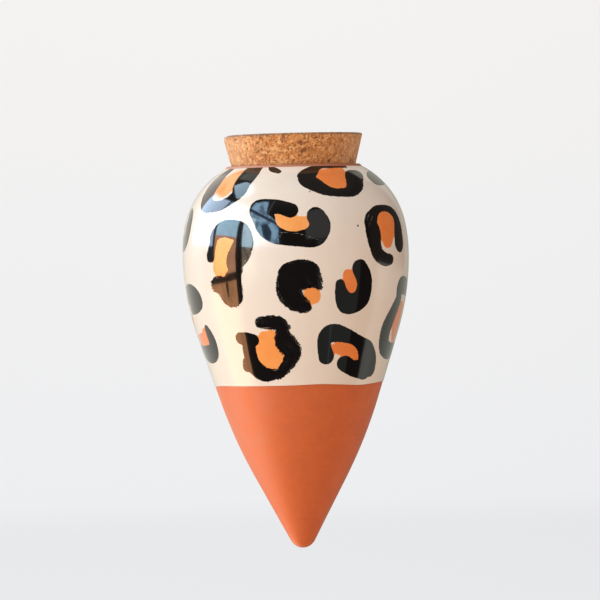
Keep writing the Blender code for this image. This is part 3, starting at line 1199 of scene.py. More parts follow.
SPOTS = {
    "left_shoulder": Spot(
        (Stroke((
            (-33.4, 84.1, 3.6), (-33.6, 81.1, 4.3), (-34.5, 77.6, 3.9), (-34.3, 74.6, 3.2),
            (-38.3, 71.8, 2.4), (-44.8, 69.8, 2.4), (-51.8, 69.5, 2.6), (-57.5, 70.6, 3.4),
            (-60.8, 73.9, 4.1), (-62, 77.9, 4.3), (-62.9, 80.8, 3.6), (-62.4, 82.9, 2.8),
        ), 0.12),),
        (Stroke(((-43.9, 81.9, 2.2), (-47.3, 79.5, 4.4), (-48.2, 76.7, 5.3)), 0.9),),
    ),
    "lip_dash": Spot((Stroke(((-19.1, 83.9, 0.8), (-15.5, 83, 1.6), (-11.2, 82.1, 1.2))),)),
    "right_shoulder": Spot(
        (
            Stroke((
                (6.2, 80.2, 2.2), (9.6, 80.9, 3.1), (12.4, 81.8, 2.9), (15, 82.7, 2.3), (18, 83.3, 1.7),
                (23, 83.7, 1.3), (30, 83.7, 1.3), (38, 83.75, 1.2), (46, 83.7, 1.1),
            )),
            Stroke((
                (7, 79, 2.6), (9.6, 78.1, 3.7), (13.6, 76.6, 3.4), (17.6, 74.9, 2.8),
                (23.3, 73.7, 2.0), (30.7, 73.5, 2.1), (36.0, 74.2, 2.6), (40.6, 76.8, 3.7),
                (44.5, 79.4, 3.9), (49.5, 80.5, 2.9), (52.8, 81, 1.9),
            ), 0.08),
        ),
        (Stroke((
            (22.3, 79.9, 4.3), (27.3, 79.4, 5.4), (31, 79.6, 5.0), (34.5, 81.8, 2.6), (38.5, 82.5, 1.4),
        )),),
    ),
    "right_shoulder_edge": Spot(
        (Stroke(((64, 78.6, 3.2), (68.6, 79, 3.9), (76.8, 79.4, 3.9), (84, 79.3, 3.8))),),
    ),
    "upper_hook": Spot(
        (Stroke((
            (-2.1, 67.1, 3), (-7.1, 68.3, 2.9), (-13.3, 68.7, 3.2), (-19.4, 68.1, 3.6), (-16.2, 64.2, 4.3),
            (-14.2, 60.7, 3.9), (-10.2, 58, 3.4), (-4.1, 56.5, 2.8), (3, 56.2, 3.1), (9.8, 57.1, 4.1),
            (12.9, 61.0, 4.1), (11.2, 64.6, 3.7),
        )),),
        (Stroke(((-6.6, 63.2, 3), (-2, 62, 2.9), (3.5, 62.1, 2.7), (6.9, 62.4, 1.7)), 1.0),),
        (Stroke(((-8, 58.8, 0.17), (1, 58.2, 0.20), (9, 56.3, 0.19), (13.5, 55, 0.16))),
         Stroke(((-8.8, 55.6, 0.15), (-6.5, 58.6, 0.17)))),
    ),
    "right_hook": Spot(
        (
            Stroke((
                (42.5, 61.7, 3.3), (43.5, 57.5, 3.9), (44, 53.4, 3.3), (45.9, 49.7, 3), (51, 47.6, 2.7),
                (55.8, 47.4, 2.1),
            ), 0.1),
            Stroke((
                (43.1, 63, 3), (47.7, 66.1, 1.9), (53.3, 67.2, 1.4), (59.4, 66.9, 1.6), (64.8, 65.1, 2.3),
                (66.8, 61.3, 3.1), (66, 57.3, 3.9), (65.8, 54.1, 4.1),
            ), 0.1),
        ),
        (Stroke(((54.1, 62, 4.9), (54.6, 58.4, 4.4), (53.7, 55.3, 3.5))), Stroke(((57, 62.6, 4.2),))),
        (Stroke(((39.8, 62.5, 0.15), (42.6, 65.3, 0.18))), Stroke(((40.5, 60.2, 0.14), (44.5, 64.2, 0.17)))),
    ),
    "left_arch": Spot(
        (
            Stroke((
                (-47.9, 50.2, 2.3), (-46.1, 54.9, 2), (-44.8, 58.3, 2.4), (-40, 60.5, 3.2),
                (-34.5, 60.6, 3.6), (-28.9, 59.2, 4), (-26.8, 55.6, 4.1), (-28.9, 51.5, 4.6),
                (-31.9, 48, 4), (-31.3, 44.9, 2.8),
            ), 0.12),
            Stroke((
                (-44.9, 39.4, 3.1), (-40.4, 38.8, 4), (-35.2, 35.3, 4.8), (-34.1, 40.3, 4.1),
                (-32.4, 43.9, 3.2),
            ), 0.5),
        ),
        (Stroke(((-37.9, 54.4, 4.2), (-39.9, 50.6, 3.3), (-41.2, 48, 3.3), (-41.5, 45.8, 3.6)), 1.0),
         Stroke(((-39.2, 45.8, 2.6),), 1.0)),
        (
            Stroke(((-22.9, 51.8, 0.14), (-25.3, 47.4, 0.18), (-27.8, 44.6, 0.14))),
            Stroke(((-24.6, 51.4, 0.14), (-26.6, 47.2, 0.17), (-28.6, 45, 0.14))),
        ),
    ),
    "left_edge_ring": Spot(
        (Stroke((
            (-77.1, 67.7, 1.8), (-74, 65.5, 3.0), (-74.0, 61.7, 3.8), (-75.6, 57.9, 3.6), (-80.3, 55.4, 3.1),
            (-87.6, 56.5, 2.8), (-90.3, 60.5, 3),
        )),),
        (Stroke(((-84.6, 62.1, 2.6), (-85, 60.6, 2.9))),),
    ),
    "middle_blot": Spot(
        (
            Stroke(((-2.4, 42.2, 5.3), (2, 42.4, 6), (5.5, 42.7, 5.2)), 0.15),
            Stroke(((6.0, 42.0, 5.0), (9.4, 40.2, 2.9), (12, 37.7, 1.2)), 0.8),
            Stroke((
                (-3.2, 41.5, 4.9), (-3.9, 38.2, 5), (-3.4, 35.4, 4.7), (-0.5, 32.5, 4), (4.2, 30.3, 2.5),
            ), 0.4),
        ),
        (Stroke(((7.2, 35.3, 2.2), (8.4, 34.2, 3)), 0.6),),
        (Stroke(((-9.3, 36.5, 0.2), (-7, 32.6, 0.25))), Stroke(((-9.3, 40.5, 0.12), (-9.2, 38, 0.12)))),
    ),
    "middle_hook": Spot(
        (Stroke((
            (22.6, 38.6, 1.9), (23.7, 34.8, 2.8), (26.7, 31.3, 4), (31.3, 31.3, 4), (35.6, 33.3, 4),
            (37.1, 37.8, 3.6), (36.1, 41.4, 3.7), (33.8, 44.4, 3.5),
        )),),
        (Stroke(((27, 41.8, 2.4), (28.6, 39.4, 2.7), (29.6, 37, 2.5))),),
    ),
    "right_edge_hook": Spot(
        (Stroke((
            (82.6, 36.4, 3.4), (75.6, 37.2, 3.5), (69.0, 37.1, 3.4), (68.2, 32.2, 3.0), (64.2, 27.2, 3.5),
            (60.8, 22.5, 4.0), (60.3, 18.3, 3.9), (62.6, 14.4, 3.6), (68, 12.6, 3.4), (75, 12, 3.3),
            (82.7, 12.5, 3.3),
        ), 0.1),),
        (Stroke(((74.5, 27.8, 3.6), (73, 22.6, 4.2), (75, 18.8, 3.4))),),
        (
            Stroke(((66, 38.5, 0.12), (67.3, 31, 0.12), (62, 22, 0.1))),
            Stroke(((69.8, 38.4, 0.15), (70, 32, 0.12))),
        ),
    ),
    "left_edge_upper": Spot(
        (Stroke((
            (-79, 37.2, 2.4), (-71.5, 36.7, 3.3), (-65.2, 35, 3.5), (-62.6, 32.8, 2.8), (-68, 31.3, 2.9),
            (-76.6, 30.1, 2.2),
        )), Stroke(((-79, 33.6, 1.8), (-68, 33.8, 1.8)))),
        (Stroke(((-90, 33.8, 2), (-82, 33.5, 1.6))),),
    ),
    "left_edge_lower": Spot(
        (Stroke((
            (-60.8, 22.4, 1.8), (-59.5, 19.6, 2.6), (-59.1, 16.4, 2.9), (-61.5, 13.6, 3.4),
            (-67.5, 12.6, 3.7), (-74.6, 12.8, 3.3), (-80.7, 14, 2.5),
        )),),
        (Stroke(((-64.8, 20.9, 2), (-67, 18.9, 2.6), (-72, 18.4, 2.5), (-77.1, 18.4, 2))),),
    ),
    "lower_ring_left": Spot(
        (
            Stroke((
                (-20.3, 24.6, 2.3), (-14.6, 24.6, 2.8), (-9.6, 23.7, 3.1), (-8.3, 20.6, 2.8),
                (-7.7, 17.6, 3.8), (-6, 15.6, 4.1), (-3.1, 13.4, 3.4), (-4.2, 10.9, 2.9),
                (-7.6, 7.6, 2.4), (-12, 5.2, 2.2), (-16.3, 4.6, 2.2),
            ), 0.5),
            Stroke(((-5.8, 22.6, 1.4),), 0.5),
            Stroke(((-3.3, 18.3, 1.4),), 0.5),
            Stroke((
                (-16.3, 4.6, 2.2), (-23, 5.0, 3.1), (-28.7, 8.1, 3.4), (-30, 12.5, 2.9), (-29.7, 16, 3),
            ), 0.15),
            Stroke(((-26, 18.1, 2.4), (-30, 18.6, 2.6), (-34, 18.7, 2.5))),
            Stroke(((-33.6, 9.4, 1.9), (-34.4, 7.4, 1.7)), 0.3),
        ),
        (
            Stroke(((-19.4, 19.5, 2), (-15.3, 19.5, 2)), 0.6),
            Stroke(((-18, 17.2, 3.3), (-17.4, 12.4, 6.0)), 0.75),
            Stroke(((-12.6, 11.8, 2.9),), 0.75),
        ),
        (
            Stroke(((-22.4, 23, 0.12), (-21.2, 26.2, 0.14))),
            Stroke(((-19.6, 22.6, 0.08), (-18.8, 26.8, 0.1))),
            Stroke(((-20.8, 22.6, 0.06), (-20, 26.6, 0.08))),
            Stroke(((-17, 25.8, 0.05), (-12, 25.6, 0.06), (-8.5, 24, 0.05))),
            Stroke(((-28, 8, 0.04), (-26, 4.6, 0.05), (-22, 3, 0.04))),
        ),
    ),
    "lower_ring_right": Spot(
        (
            Stroke((
                (17.2, 11, 3.1), (15.4, 14.9, 2.7), (15.9, 18.9, 2.9), (20.2, 20.0, 3.7), (27.2, 19.1, 3),
                (34.3, 17.4, 2.4), (40.3, 15.3, 2.8), (44.8, 12.8, 4), (48.9, 8.4, 4.8), (53.2, 5.3, 3.0),
            )),
            Stroke(((47.5, 5.5, 4.1), (40.3, 6, 3.6), (35.3, 6.5, 3.1), (30.2, 8.1, 3.1), (28.5, 8.5, 2.6))),
        ),
        (Stroke((
            (22.2, 14.2, 1.8), (26.2, 13.9, 2.6), (31.2, 13.5, 2.9), (35.3, 12.4, 3), (37.3, 11.1, 2.4),
        )),),
    ),
    "drips": Spot((Stroke(((33.7, 60.6, 0.5),)), Stroke(((9, 74, 0.4),)))),
}

BACK = (
    Repeat("left_shoulder", 104, 76, 10, True),
    Repeat("right_shoulder", 156, 77.5, -8),
    Repeat("upper_hook", 211, 76, 176, False, 0.92),
    Repeat("middle_hook", 254, 75, 100, True, 0.9),
    Repeat("upper_hook", 112, 56, 18, True, 0.95),
    Repeat("left_arch", 150, 51, 170, False, 0.92),
    Repeat("right_hook", 191, 54, 20, False, 0.95),
    Repeat("middle_blot", 226, 50, -70, True, 0.9),
    Repeat("middle_hook", 249, 44, 35, False, 0.9),
    Repeat("lower_ring_left", 118, 24, 0, True, 0.95),
    Repeat("middle_hook", 151, 23, 150, True, 0.95),
    Repeat("lower_ring_right", 188, 26, 14, True, 0.9),
    Repeat("middle_blot", 166, 8, 80, False, 0.62),
    Repeat("lower_ring_left", 228, 19, 160, True, 0.9),
    Repeat("left_edge_upper", 262, 22, 20, True, 0.9),
)


@dataclass
class Brushwork:
    """The painted marks, laid on the glaze's outer surface."""

    skin: Section
    places: np.ndarray  # of the glaze's vertices, shape (n, 3)
    normals: np.ndarray  # the outward directions there, shape (n, 3)
    step: float = 0.0003
    reach: float = 0.004  # beyond a mark's edge, as far as its distance is worked out
    shift: float = 17.0  # mm between the streaks of one stroke and of the next

    def __post_init__(self) -> None:
        """Starts the numbers that the finish reads, with every mark far away."""
        edges = ("black_edge", "orange_edge", "scratch")
        others = ("dryness", "orange_thin_and_lit", "brush_along", "brush_across")
        self.numbers = {name: np.full(len(self.places), FAR) for name in edges}
        self.numbers |= {name: np.zeros(len(self.places)) for name in others}

    def flat(self, path: np.ndarray, middle: tuple[float, float]) -> np.ndarray:
        """A path and its half widths in metres, across and up the surface from a middle.

        Args:
            path: Bearing in degrees, height and half width in mm, shape (n, 3).
            middle: Bearing in degrees and height in mm.

        Returns:
            Across, up and half width in metres, shape (n, 3).
        """
        up = np.interp(path[:, 1] * MM, self.skin.rows[:, 1], self.skin.lengths)
        across = np.radians(path[:, 0] - middle[0]) * self.skin.at(up)[0]
        return np.c_[across, up - self.skin.where_height(middle[1] * MM), path[:, 2] * MM]

    def middle_of(self, spot: Spot) -> tuple[float, float]:
        """Bearing and height of the middle of a spot's strokes."""
        path = np.vstack([np.array(stroke.path) for stroke in spot.black])
        return tuple((path[:, :2].min(axis=0) + path[:, :2].max(axis=0)) / 2)

    def laid(self, stroke: Stroke, spot: Spot, how: Optional[Repeat]) -> np.ndarray:
        """Circles along a stroke on the surface: x, y, z and half width, in metres, a step apart.

        Args:
            stroke: The stroke.
            spot: The spot that it belongs to.
            how: How the spot is repeated, or None for the spot itself.

        Returns:
            The circles, shape (n, 4).
        """
        old = self.middle_of(spot)
        path = self.flat(np.array(stroke.path, float), old)
        new, turned, flip, scale = old, 0.0, 1.0, 1.0
        if how:
            new, turned = (how.bearing, how.height), math.radians(how.turned)
            flip, scale = (-1.0 if how.mirrored else 1.0), how.scale
        path = through(path, self.step)
        across, up = path[:, 0] * flip * scale, path[:, 1] * scale
        length = across * math.sin(turned) + up * math.cos(turned) + self.skin.where_height(new[1] * MM)
        r, z, _ = self.skin.at(length)
        bearing = math.radians(new[0]) + (across * math.cos(turned) - up * math.sin(turned)) / r
        return np.c_[r * np.sin(bearing), -r * np.cos(bearing), z, path[:, 2] * scale]

    def painted(self) -> dict[str, np.ndarray]:
        """Numbers for the finish at each place, worked out over every stroke.

        The distance to a mark is the least, over the circles along its strokes, of the distance to the
        circle's centre less its half width.

        Returns:
            black_edge, orange_edge and scratch in mm, negative inside a mark, the nearest black stroke's
            dryness, the nearest dab's orange_thin_and_lit, and brush_along and brush_across in mm.
        """
        jobs = [(spot, None) for spot in SPOTS.values()] + [(SPOTS[how.spot], how) for how in BACK]
        offset = 0.0
        for spot, how in jobs:
            for stroke in spot.black:
                offset += self.shift
                self.brush(self.laid(stroke, spot, how), stroke.dryness, offset)
            for stroke in spot.orange:
                closer, _ = self.dab("orange_edge", self.laid(stroke, spot, how))
                # Painted highlight: the dabs of the lit left's spots are given a paler orange.
                self.numbers["orange_thin_and_lit"][closer] = stroke.dryness
            for stroke in spot.scratches:
                self.dab("scratch", self.laid(stroke, spot, how))
        return self.numbers

    def dab(self, kind: str, circles: np.ndarray) -> tuple[np.ndarray, np.ndarray]:
        """Adds a stroke to the distances of its kind, where it is the nearest one so far.

        Args:
            kind: The name of those distances.
            circles: The stroke, as laid.

        Returns:
            Which places those are, and each one's nearest circle.
        """
        margin = circles[:, 3].max() + self.reach
        low, high = circles[:, :3].min(axis=0) - margin, circles[:, :3].max(axis=0) + margin
        which = np.flatnonzero(np.all((self.places > low) & (self.places < high), axis=1))
        gap = np.linalg.norm(self.places[which, None, :] - circles[None, :, :3], axis=-1) - circles[:, 3]
        nearest = gap.argmin(axis=1)
        distance = gap[np.arange(len(which)), nearest] / MM
        closer = distance < self.numbers[kind][which]
        which, nearest = which[closer], nearest[closer]
        self.numbers[kind][which] = distance[closer]
        return which, nearest

    def brush(self, circles: np.ndarray, dryness: float, offset: float) -> None:
        """Adds a black stroke, and how its bristles run, to the numbers where it is the nearest so far.

        Args:
            circles: The stroke's circles, shape (n, 4).
            dryness: How dry its brush was, from 0 to 1.
            offset: Where it starts in the bristles' pattern, in mm.
        """
        which, nearest = self.dab("black_edge", circles)
        middle = circles[:, :3]
        onward = np.gradient(middle, axis=0) if len(middle) > 1 else np.array([[0.0, 0.0, 1.0]])
        onward /= np.linalg.norm(onward, axis=1, keepdims=True)
        sideways = np.cross(self.normals[which], onward[nearest])
        aside = ((self.places[which] - middle[nearest]) * sideways).sum(axis=1)
        self.numbers["dryness"][which] = dryness
        self.numbers["brush_along"][which] = offset + nearest * self.step / MM
        self.numbers["brush_across"][which] = aside / MM


@dataclass
class GlazeCoat:
    """The fired glaze, a thin closed skin from the dipped edge to the foot of the lip."""

    form: PotForm
    effects: SharedEffects
    finish: GlazeFinish = GlazeFinish()
    columns: int = 470
    rows: int = 186
    proud: float = 0.00025  # of the clay's surface
    sunk: float = 0.00009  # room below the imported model's surface for the relief
    underside: float = -0.00024
    hidden_rows: int = 12
    edge_rounding: float = 0.0004
    edge_left: float = 0.02 * MM  # of the thickness at the very edge
    edge_rows: tuple[float, ...] = (0.0, 0.05, 0.12, 0.25, 0.4)  # mm from an edge
    lip_gap: float = 0.25 * MM  # between the top edge and the lip
    relief_from: float = 4.0  # times edge_rounding from an edge, where the relief is full
    paint_depth: float = 0.000025
    paint_rise: tuple[float, float] = (-0.7, 0.2)  # mm inside a mark's edge, over which the paint rises
    waviness: tuple[Noise, ...] = (Noise(0.016, 0.03 * MM, 5), Noise(0.005, 0.006 * MM, 6))

    def section(self) -> tuple[np.ndarray, np.ndarray]:
        """Rows of the closed section: up the outside, then down the underside.

        Returns:
            The rows as radius, height and normal, and for each how much of the surface's relief it takes.
        """
        top = self.form.lip_outer + self.lip_gap
        outer = self.form.outside(self.proud - self.sunk)
        under = self.form.outside(self.underside)
        low, high = outer.where_height(0.0), outer.where_radius(top)
        close = MM * np.array(self.edge_rows)
        lengths = np.linspace(low, high, self.rows)[2:-1]
        lengths = np.r_[low + close, lengths, high - close[-2::-1]]
        shown = np.stack(outer.at(lengths), axis=-1)
        ends = np.minimum(lengths - low, high - lengths) / self.edge_rounding
        drop = 1.0 - np.sqrt(np.clip(1.0 - (1.0 - np.clip(ends, 0.0, 1.0)) ** 2, 0.0, 1.0))
        drop = drop * (self.proud - self.sunk - self.edge_left)
        shown[:, 0] -= drop * np.cos(shown[:, 2])
        shown[:, 1] -= drop * np.sin(shown[:, 2])
        hidden = np.linspace(under.where_radius(top), under.where_height(0.0), self.hidden_rows)
        hidden = np.stack(under.at(hidden), axis=-1)
        relief = np.r_[np.clip(ends / self.relief_from, 0.0, 1.0), np.zeros(len(hidden))]
        return np.vstack([shown, hidden]), relief

    def surface(self) -> Surface:
        """The closed skin with its painted marks' numbers, its waviness and the paint's small relief.

        Returns:
            The surface, with the numbers that the finish reads.
        """
        rows, relief = self.section()
        bearing, r, z, normal = revolved(rows, self.columns)
        line = self.form.line(bearing) * self.form.near_line(z)
        r, z = r + line * math.tan(self.form.flank_angle), z + line
        grid = round_grid(np.stack([r, z], axis=-1), bearing)
        outward = direction(normal, bearing)
        skin = self.form.outside(self.proud)
        numbers = Brushwork(skin, grid.reshape(-1, 3), outward.reshape(-1, 3)).painted()
        marked = np.minimum(numbers["black_edge"], numbers["orange_edge"]).reshape(r.shape)
        height = self.paint_depth * smoothstep(*self.paint_rise, -marked)
        height = height + sum(noise.below(grid) for noise in self.waviness)
        grid += outward * (height * relief[:, None])[..., None]
        quads, triangles = grid_faces(len(rows), self.columns, ring=True)
        return Surface("cream_glaze_skin", grid.reshape(-1, 3), quads, triangles, numbers)

    def built(self) -> bpy.types.Object:
        """The finished piece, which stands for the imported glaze.

        Returns:
            The object.
        """
        piece = self.surface().built(self.finish.made(self.effects))
        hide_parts("glaze_coat")
        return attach(piece, "vessel")


@dataclass
class CorkStopper:
    """The tapered cork, whose granules, gaps and pits are cut into its surface."""

    form: PotForm
    effects: SharedEffects
    finish: CorkFinish = CorkFinish()
    clearance: float = 0.0003
    rounding: float = 0.0006
    columns: int = 440
    step: float = 0.00042
    granule: float = 0.0015
    gap_depth: float = 0.00009
    gap_width: float = 0.22  # in granules
    granule_seed: int = 11
    pit_spacing: float = 0.0015 * 1.35
    pit_seed: int = 23
    pit_shift: float = 0.5  # metres along each axis, so that no pit lines up with the granules
    pit_depth: float = 0.00045
    pit_share: float = 0.035
    pit_slope: tuple[float, float] = (0.10, 0.34)  # from its edge to its full depth, in spacings
    roughness: Noise = Noise(0.0008, 0.00005, 4)
    rim_band: tuple[float, float] = (0.0012, 0.00045)  # from the top corner: where wear begins, and is full
    rim_share: float = 0.8
    rim_noise: Noise = Noise(0.003, 0.3, 9)
    chip: tuple[float, float, float] = (-97.0, 38.0, 0.0016)  # bearing and half width (°), depth
    chip_height: float = 0.0022
    chip_from: float = 0.88  # of the cork's radius
    chip_noise: Noise = Noise(0.0014, 0.4, 3)
    chip_void: float = 0.2  # how much of a pit's colour it has
    hub: float = 0.3 * MM  # radius where the flat top and foot close

    def section(self) -> Section:
        """From the middle of the foot out, up the tapered side with rounded edges, and in over the top.

        Returns:
            The cork's section.
        """
        low, high = (corner.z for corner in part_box("cork_stopper"))
        slope, small = math.tan(self.form.cork_taper), self.rounding
        leaning = -self.form.cork_taper
        at_lip = self.form.mouth_radius - self.clearance / math.cos(self.form.cork_taper)

        def centre(z: float) -> float:
            """Radius at which the middle of a rounded edge lies, at its height."""
            return at_lip + (z - self.form.lip_top()) * slope - small / math.cos(leaning)

        foot = Arc(small, centre(low + small), low + small, -math.pi / 2, leaning)
        top = Arc(small, centre(high - small), high - small, leaning, math.pi / 2)
        middle, end = (self.hub, low, -math.pi / 2), (self.hub, high, math.pi / 2)
        return Section(np.vstack([middle, foot.swept(), top.swept(), end]))

    def surface(self) -> Surface:
        """The closed cork. Relief only cuts inwards: gaps between granules, pits and one worn corner.

        Returns:
            The surface, with the numbers that the finish reads.
        """
        section = self.section()
        count = round(section.length / self.step)
        rows = np.stack(section.at(np.linspace(0.0, section.length, count)), axis=-1)
        bearing, r, z, normal = revolved(rows, self.columns)
        flat = round_grid(np.stack([r, z], axis=-1), bearing).reshape(-1, 3)
        outward = direction(normal, bearing).reshape(-1, 3)
        low, high, widest = section.rows[0, 1], section.rows[-1, 1], section.rows[:, 0].max()
        _, gap, tone = granules(flat, self.granule, self.granule_seed)
        _, inner, lot = granules(flat + self.pit_shift, self.pit_spacing, self.pit_seed)
        pit = smoothstep(*self.pit_slope, inner) * (lot > 1.0 - self.pit_share)
        at, half, deep = self.chip
        chip = smoothstep(-half, 0.0, -np.abs(np.degrees(bearing) - at))
        chip = chip * smoothstep(high - self.chip_height, high, z)
        chip = (chip * smoothstep(self.chip_from, 1.0, r / widest)).ravel()
        depth = self.gap_depth * (1.0 - smoothstep(0.0, self.gap_width, gap)) + self.pit_depth * pit
        depth = depth + deep * chip * (1.0 + self.chip_noise.below(flat))
        depth = depth + self.roughness.depth + self.roughness.at(flat)
        places = np.vstack([flat - outward * depth[:, None], (0, 0, low), (0, 0, high)])
        sets_in, full = self.rim_band
        worn = smoothstep(-sets_in, -full, -np.hypot(high - z, widest - r)).ravel()
        numbers = with_poles({
            "granule_tone": (tone, 0.0, 0.0),
            "granule_gap": (gap, 1.0, 1.0),
            "pit": (np.maximum(pit, self.chip_void * chip), 0.0, 0.0),
            "rim": (worn * (self.rim_share + self.rim_noise.at(flat)), 0.0, 0.0),
        })
        quads, triangles = grid_faces(len(rows), self.columns, ring=False)
        return Surface("cork_of_granules", places, quads, triangles, numbers)

    def built(self) -> bpy.types.Object:
        """The finished piece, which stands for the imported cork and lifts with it.

        Returns:
            The object.
        """
        piece = self.surface().built(self.finish.made(self.effects))
        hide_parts("cork_stopper")
        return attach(piece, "cork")


class Seen(Enum):
    """Which rays see a stage piece."""

    CAMERA = "visible_camera"
    DIFFUSE = "visible_diffuse"
    GLOSSY = "visible_glossy"
    SHADOW = "visible_shadow"


@dataclass(frozen=True)
class Card:
    """A glowing card that only glossy surfaces reflect, given by its corners' bearings and elevations (°).

    The corners run round it, and it is a fan of triangles from the first.
    """

    name: str
    corners: tuple[tuple[float, float], ...]
    colour: Colour
    strength: float
    distance: float = 1.6
    mottled: float = 0.0  # how much darker its dark patches are
    patch_size: float = 0.16

    def placed(self) -> bpy.types.Object:
        """Builds the card round the object: each corner is distance away in its own direction.

        Returns:
            The card.
        """
        bearing, rise = np.radians(np.array(self.corners, float)).T
        places = direction(rise, bearing) * self.distance
        onward = np.arange(1, len(places) - 1)
        fan = np.stack([0 * onward, onward, onward + 1], axis=-1)
        finish, graph, surface = bare_material(self.name)
        patches = graph.noise(graph.place(), self.patch_size, 3.0, 0.6)
        level = graph.span(patches, 0.38, 0.60, self.strength * (1.0 - self.mottled), self.strength)
        graph.feed(surface, graph.add("Emission", {"Color": self.colour, "Strength": level}).outputs[0])
        card = Surface(self.name, places, np.zeros((0, 4), int), fan).built(finish)
        for rays in (Seen.CAMERA, Seen.DIFFUSE, Seen.SHADOW):
            setattr(card, rays.value, False)
        return card


@dataclass
class Studio:
    """Pale backdrop, soft light from a window on the left, and the camera at the photograph's angle."""

    floor_height: float = -0.16
    floor_radius: float = 1.7
    bend: float = 0.9
    wall_height: float = 1.9
    bowl_columns: int = 96
    floor_from: tuple[float, float] = (0.02, 0.1)  # radii of the floor's first two rows
    floor_rows: int = 12
    bend_rows: int = 24
    horizon: float = 0.42  # height at which the upper tone is full
    shade: float = 0.955  # of the backdrop's tone, at the floor and far to the right
    glow_share: float = 0.72
    matt_share: float = 0.38  # so that the floor keeps the object's shadow
    upper_tone: Colour = (0.866, 0.860, 0.838)
    lower_tone: Colour = (0.830, 0.830, 0.826)
    ambient: Colour = (0.785, 0.70, 0.668)
    ambient_tilt: tuple[float, float, float] = (-0.29, -0.14, 0.0)  # how much more from +X, +Y and +Z
    ambient_rise: Colour = (-0.03, 0.17, 0.36)  # how much more of each colour comes from above
    reflected_room: Colour = (0.026, 0.022, 0.022)
    reflected_ceiling: Colour = (0.115, 0.098, 0.082)
    reflected_wall: Colour = (0.58, 0.58, 0.52)
    reflected_far_wall: Colour = (0.36, 0.36, 0.31)
    reflected_ground: Colour = (2.9, 2.5, 2.1)  # a sunlit warm floor, low on the left
    left_wall: Colour = (1.9, 1.85, 1.9)  # times as bright on the left
    upper_wall: Colour = (1.45, 1.35, 1.35)  # times as bright high up
    key_power: float = 13.5
    key_colour: Colour = (0.63, 0.835, 1.0)
    key_distance: float = 1.5
    key_bearing: float = math.radians(-61.0)
    key_elevation: float = math.radians(16.0)
    key_size: tuple[float, float] = (1.1, 0.9)
    sight: float = 1.735  # from the camera to the axis
    frame_width: float = 0.233  # of the photograph, at the axis
    eye_height: float = 0.047
    frame_middle: tuple[float, float] = (0.0012, 0.0326)  # x and z at the picture's middle
    lean: float = math.radians(1.47)  # of the object to the left in the photograph
    sensor: float = 36.0  # mm
    clip: tuple[float, float] = (0.05, 20.0)
    cards: tuple[Card, ...] = (
        Card("pane_beside", ((-89.5, 6.5), (-62.4, 6.5), (-60.6, 43), (-89.5, 43)),
             (0.52, 0.80, 1.0), 6.4, 1.6, 0.1),
        Card("pane_front", ((-55.5, 7.5), (-43, 7), (-43, 30), (-55.5, 33)),
             (0.64, 0.87, 1.0), 7.4, 1.3, 0.15),
        Card("sill", ((-55.5, -6), (-43, -6), (-43, 7), (-55.5, 7.5)), (1.0, 0.78, 0.58), 2.2, 1.3, 0.75),
        Card("pane_corner", (
            (-55.5, 7), (-16.5, 8), (-17.5, 22), (-22, 30), (-33, 37), (-37, 54), (-55.5, 49),
        ), (0.44, 0.72, 1.0), 5.4, 1.6, 0.65),
        Card("branch", ((-57, 42.5), (-57, 39.5), (-35, 31.5), (-15, 19.5), (-15, 22.5), (-35, 35)),
             (0.2, 0.5, 1.0), 0.35, 1.2),
        Card("leaf", ((-36, 23), (-31, 11.5), (-25, 11), (-24, 18), (-30, 24.5)), (0.3, 0.6, 1.0), 0.5, 1.2),
        Card("pane_behind", ((-130, 6.5), (-93, 6.5), (-93, 43), (-112, 40), (-130, 36)),
             (0.60, 0.77, 1.0), 4.9),
        Card("blind", ((-150, 41), (-112, 41.5), (-112, 48), (-150, 48)), (1.0, 0.88, 0.70), 1.3),
        Card("pane_above", ((-122, 50.5), (-121, 58.5), (-104, 64), (-78, 61), (-78, 50), (-89, 47.5)),
             (0.58, 0.82, 1.0), 3.7),
        Card("ceiling_left", ((-124, 60), (-106, 67), (-118, 78), (-165, 74), (-170, 47), (-136, 51)),
             (1.0, 1.0, 0.88), 0.48),
        Card("twig", ((-32.3, 33.5), (-31.2, 33.5), (-27.5, 56.5), (-28.6, 56.5)),
             (0.9, 0.95, 1.0), 1.0, 1.2),
        Card("frame_left", ((-110, -8.5), (-89, -8.5), (-89, 6.5), (-110, 6.5)), (0.8, 0.9, 1.0), 0.12),
        Card("shelf_upper", ((-90, -4.6), (-63.5, -4.2), (-62.1, 12.8), (-90, 12.8)),
             (1.0, 0.49, 0.27), 4.2, 1.5, 0.2),
        Card("shelf_lower", ((-101, -38), (-68.5, -38), (-63.5, -7.2), (-101, -6.6)),
             (1.0, 0.46, 0.21), 3.9, 1.5, 0.25),
        Card("shelf_post", ((-76.8, -12.5), (-74.8, -12.5), (-73.8, -7), (-77.4, -7)),
             (1.0, 0.4, 0.2), 0.4, 1.1),
        Card("door", ((22, -46), (68, -46), (68, 12), (22, 12)), (0.92, 1.0, 0.90), 0.15),
        Card("door_gap", ((40, -40), (41.2, -40), (40.6, -22), (39.6, -22)), (0.6, 0.8, 1.0), 0.6, 1.0),
        Card("lamp_glow", ((11, 12), (38, 12), (38, 43), (11, 40)), (1.0, 0.95, 0.92), 0.36),
        Card("curtain", ((82, -1), (145, -1), (149, 12), (147, 26), (139, 44), (82, 44)),
             (1.0, 0.8, 0.7), 0.07, 1.5),
    )

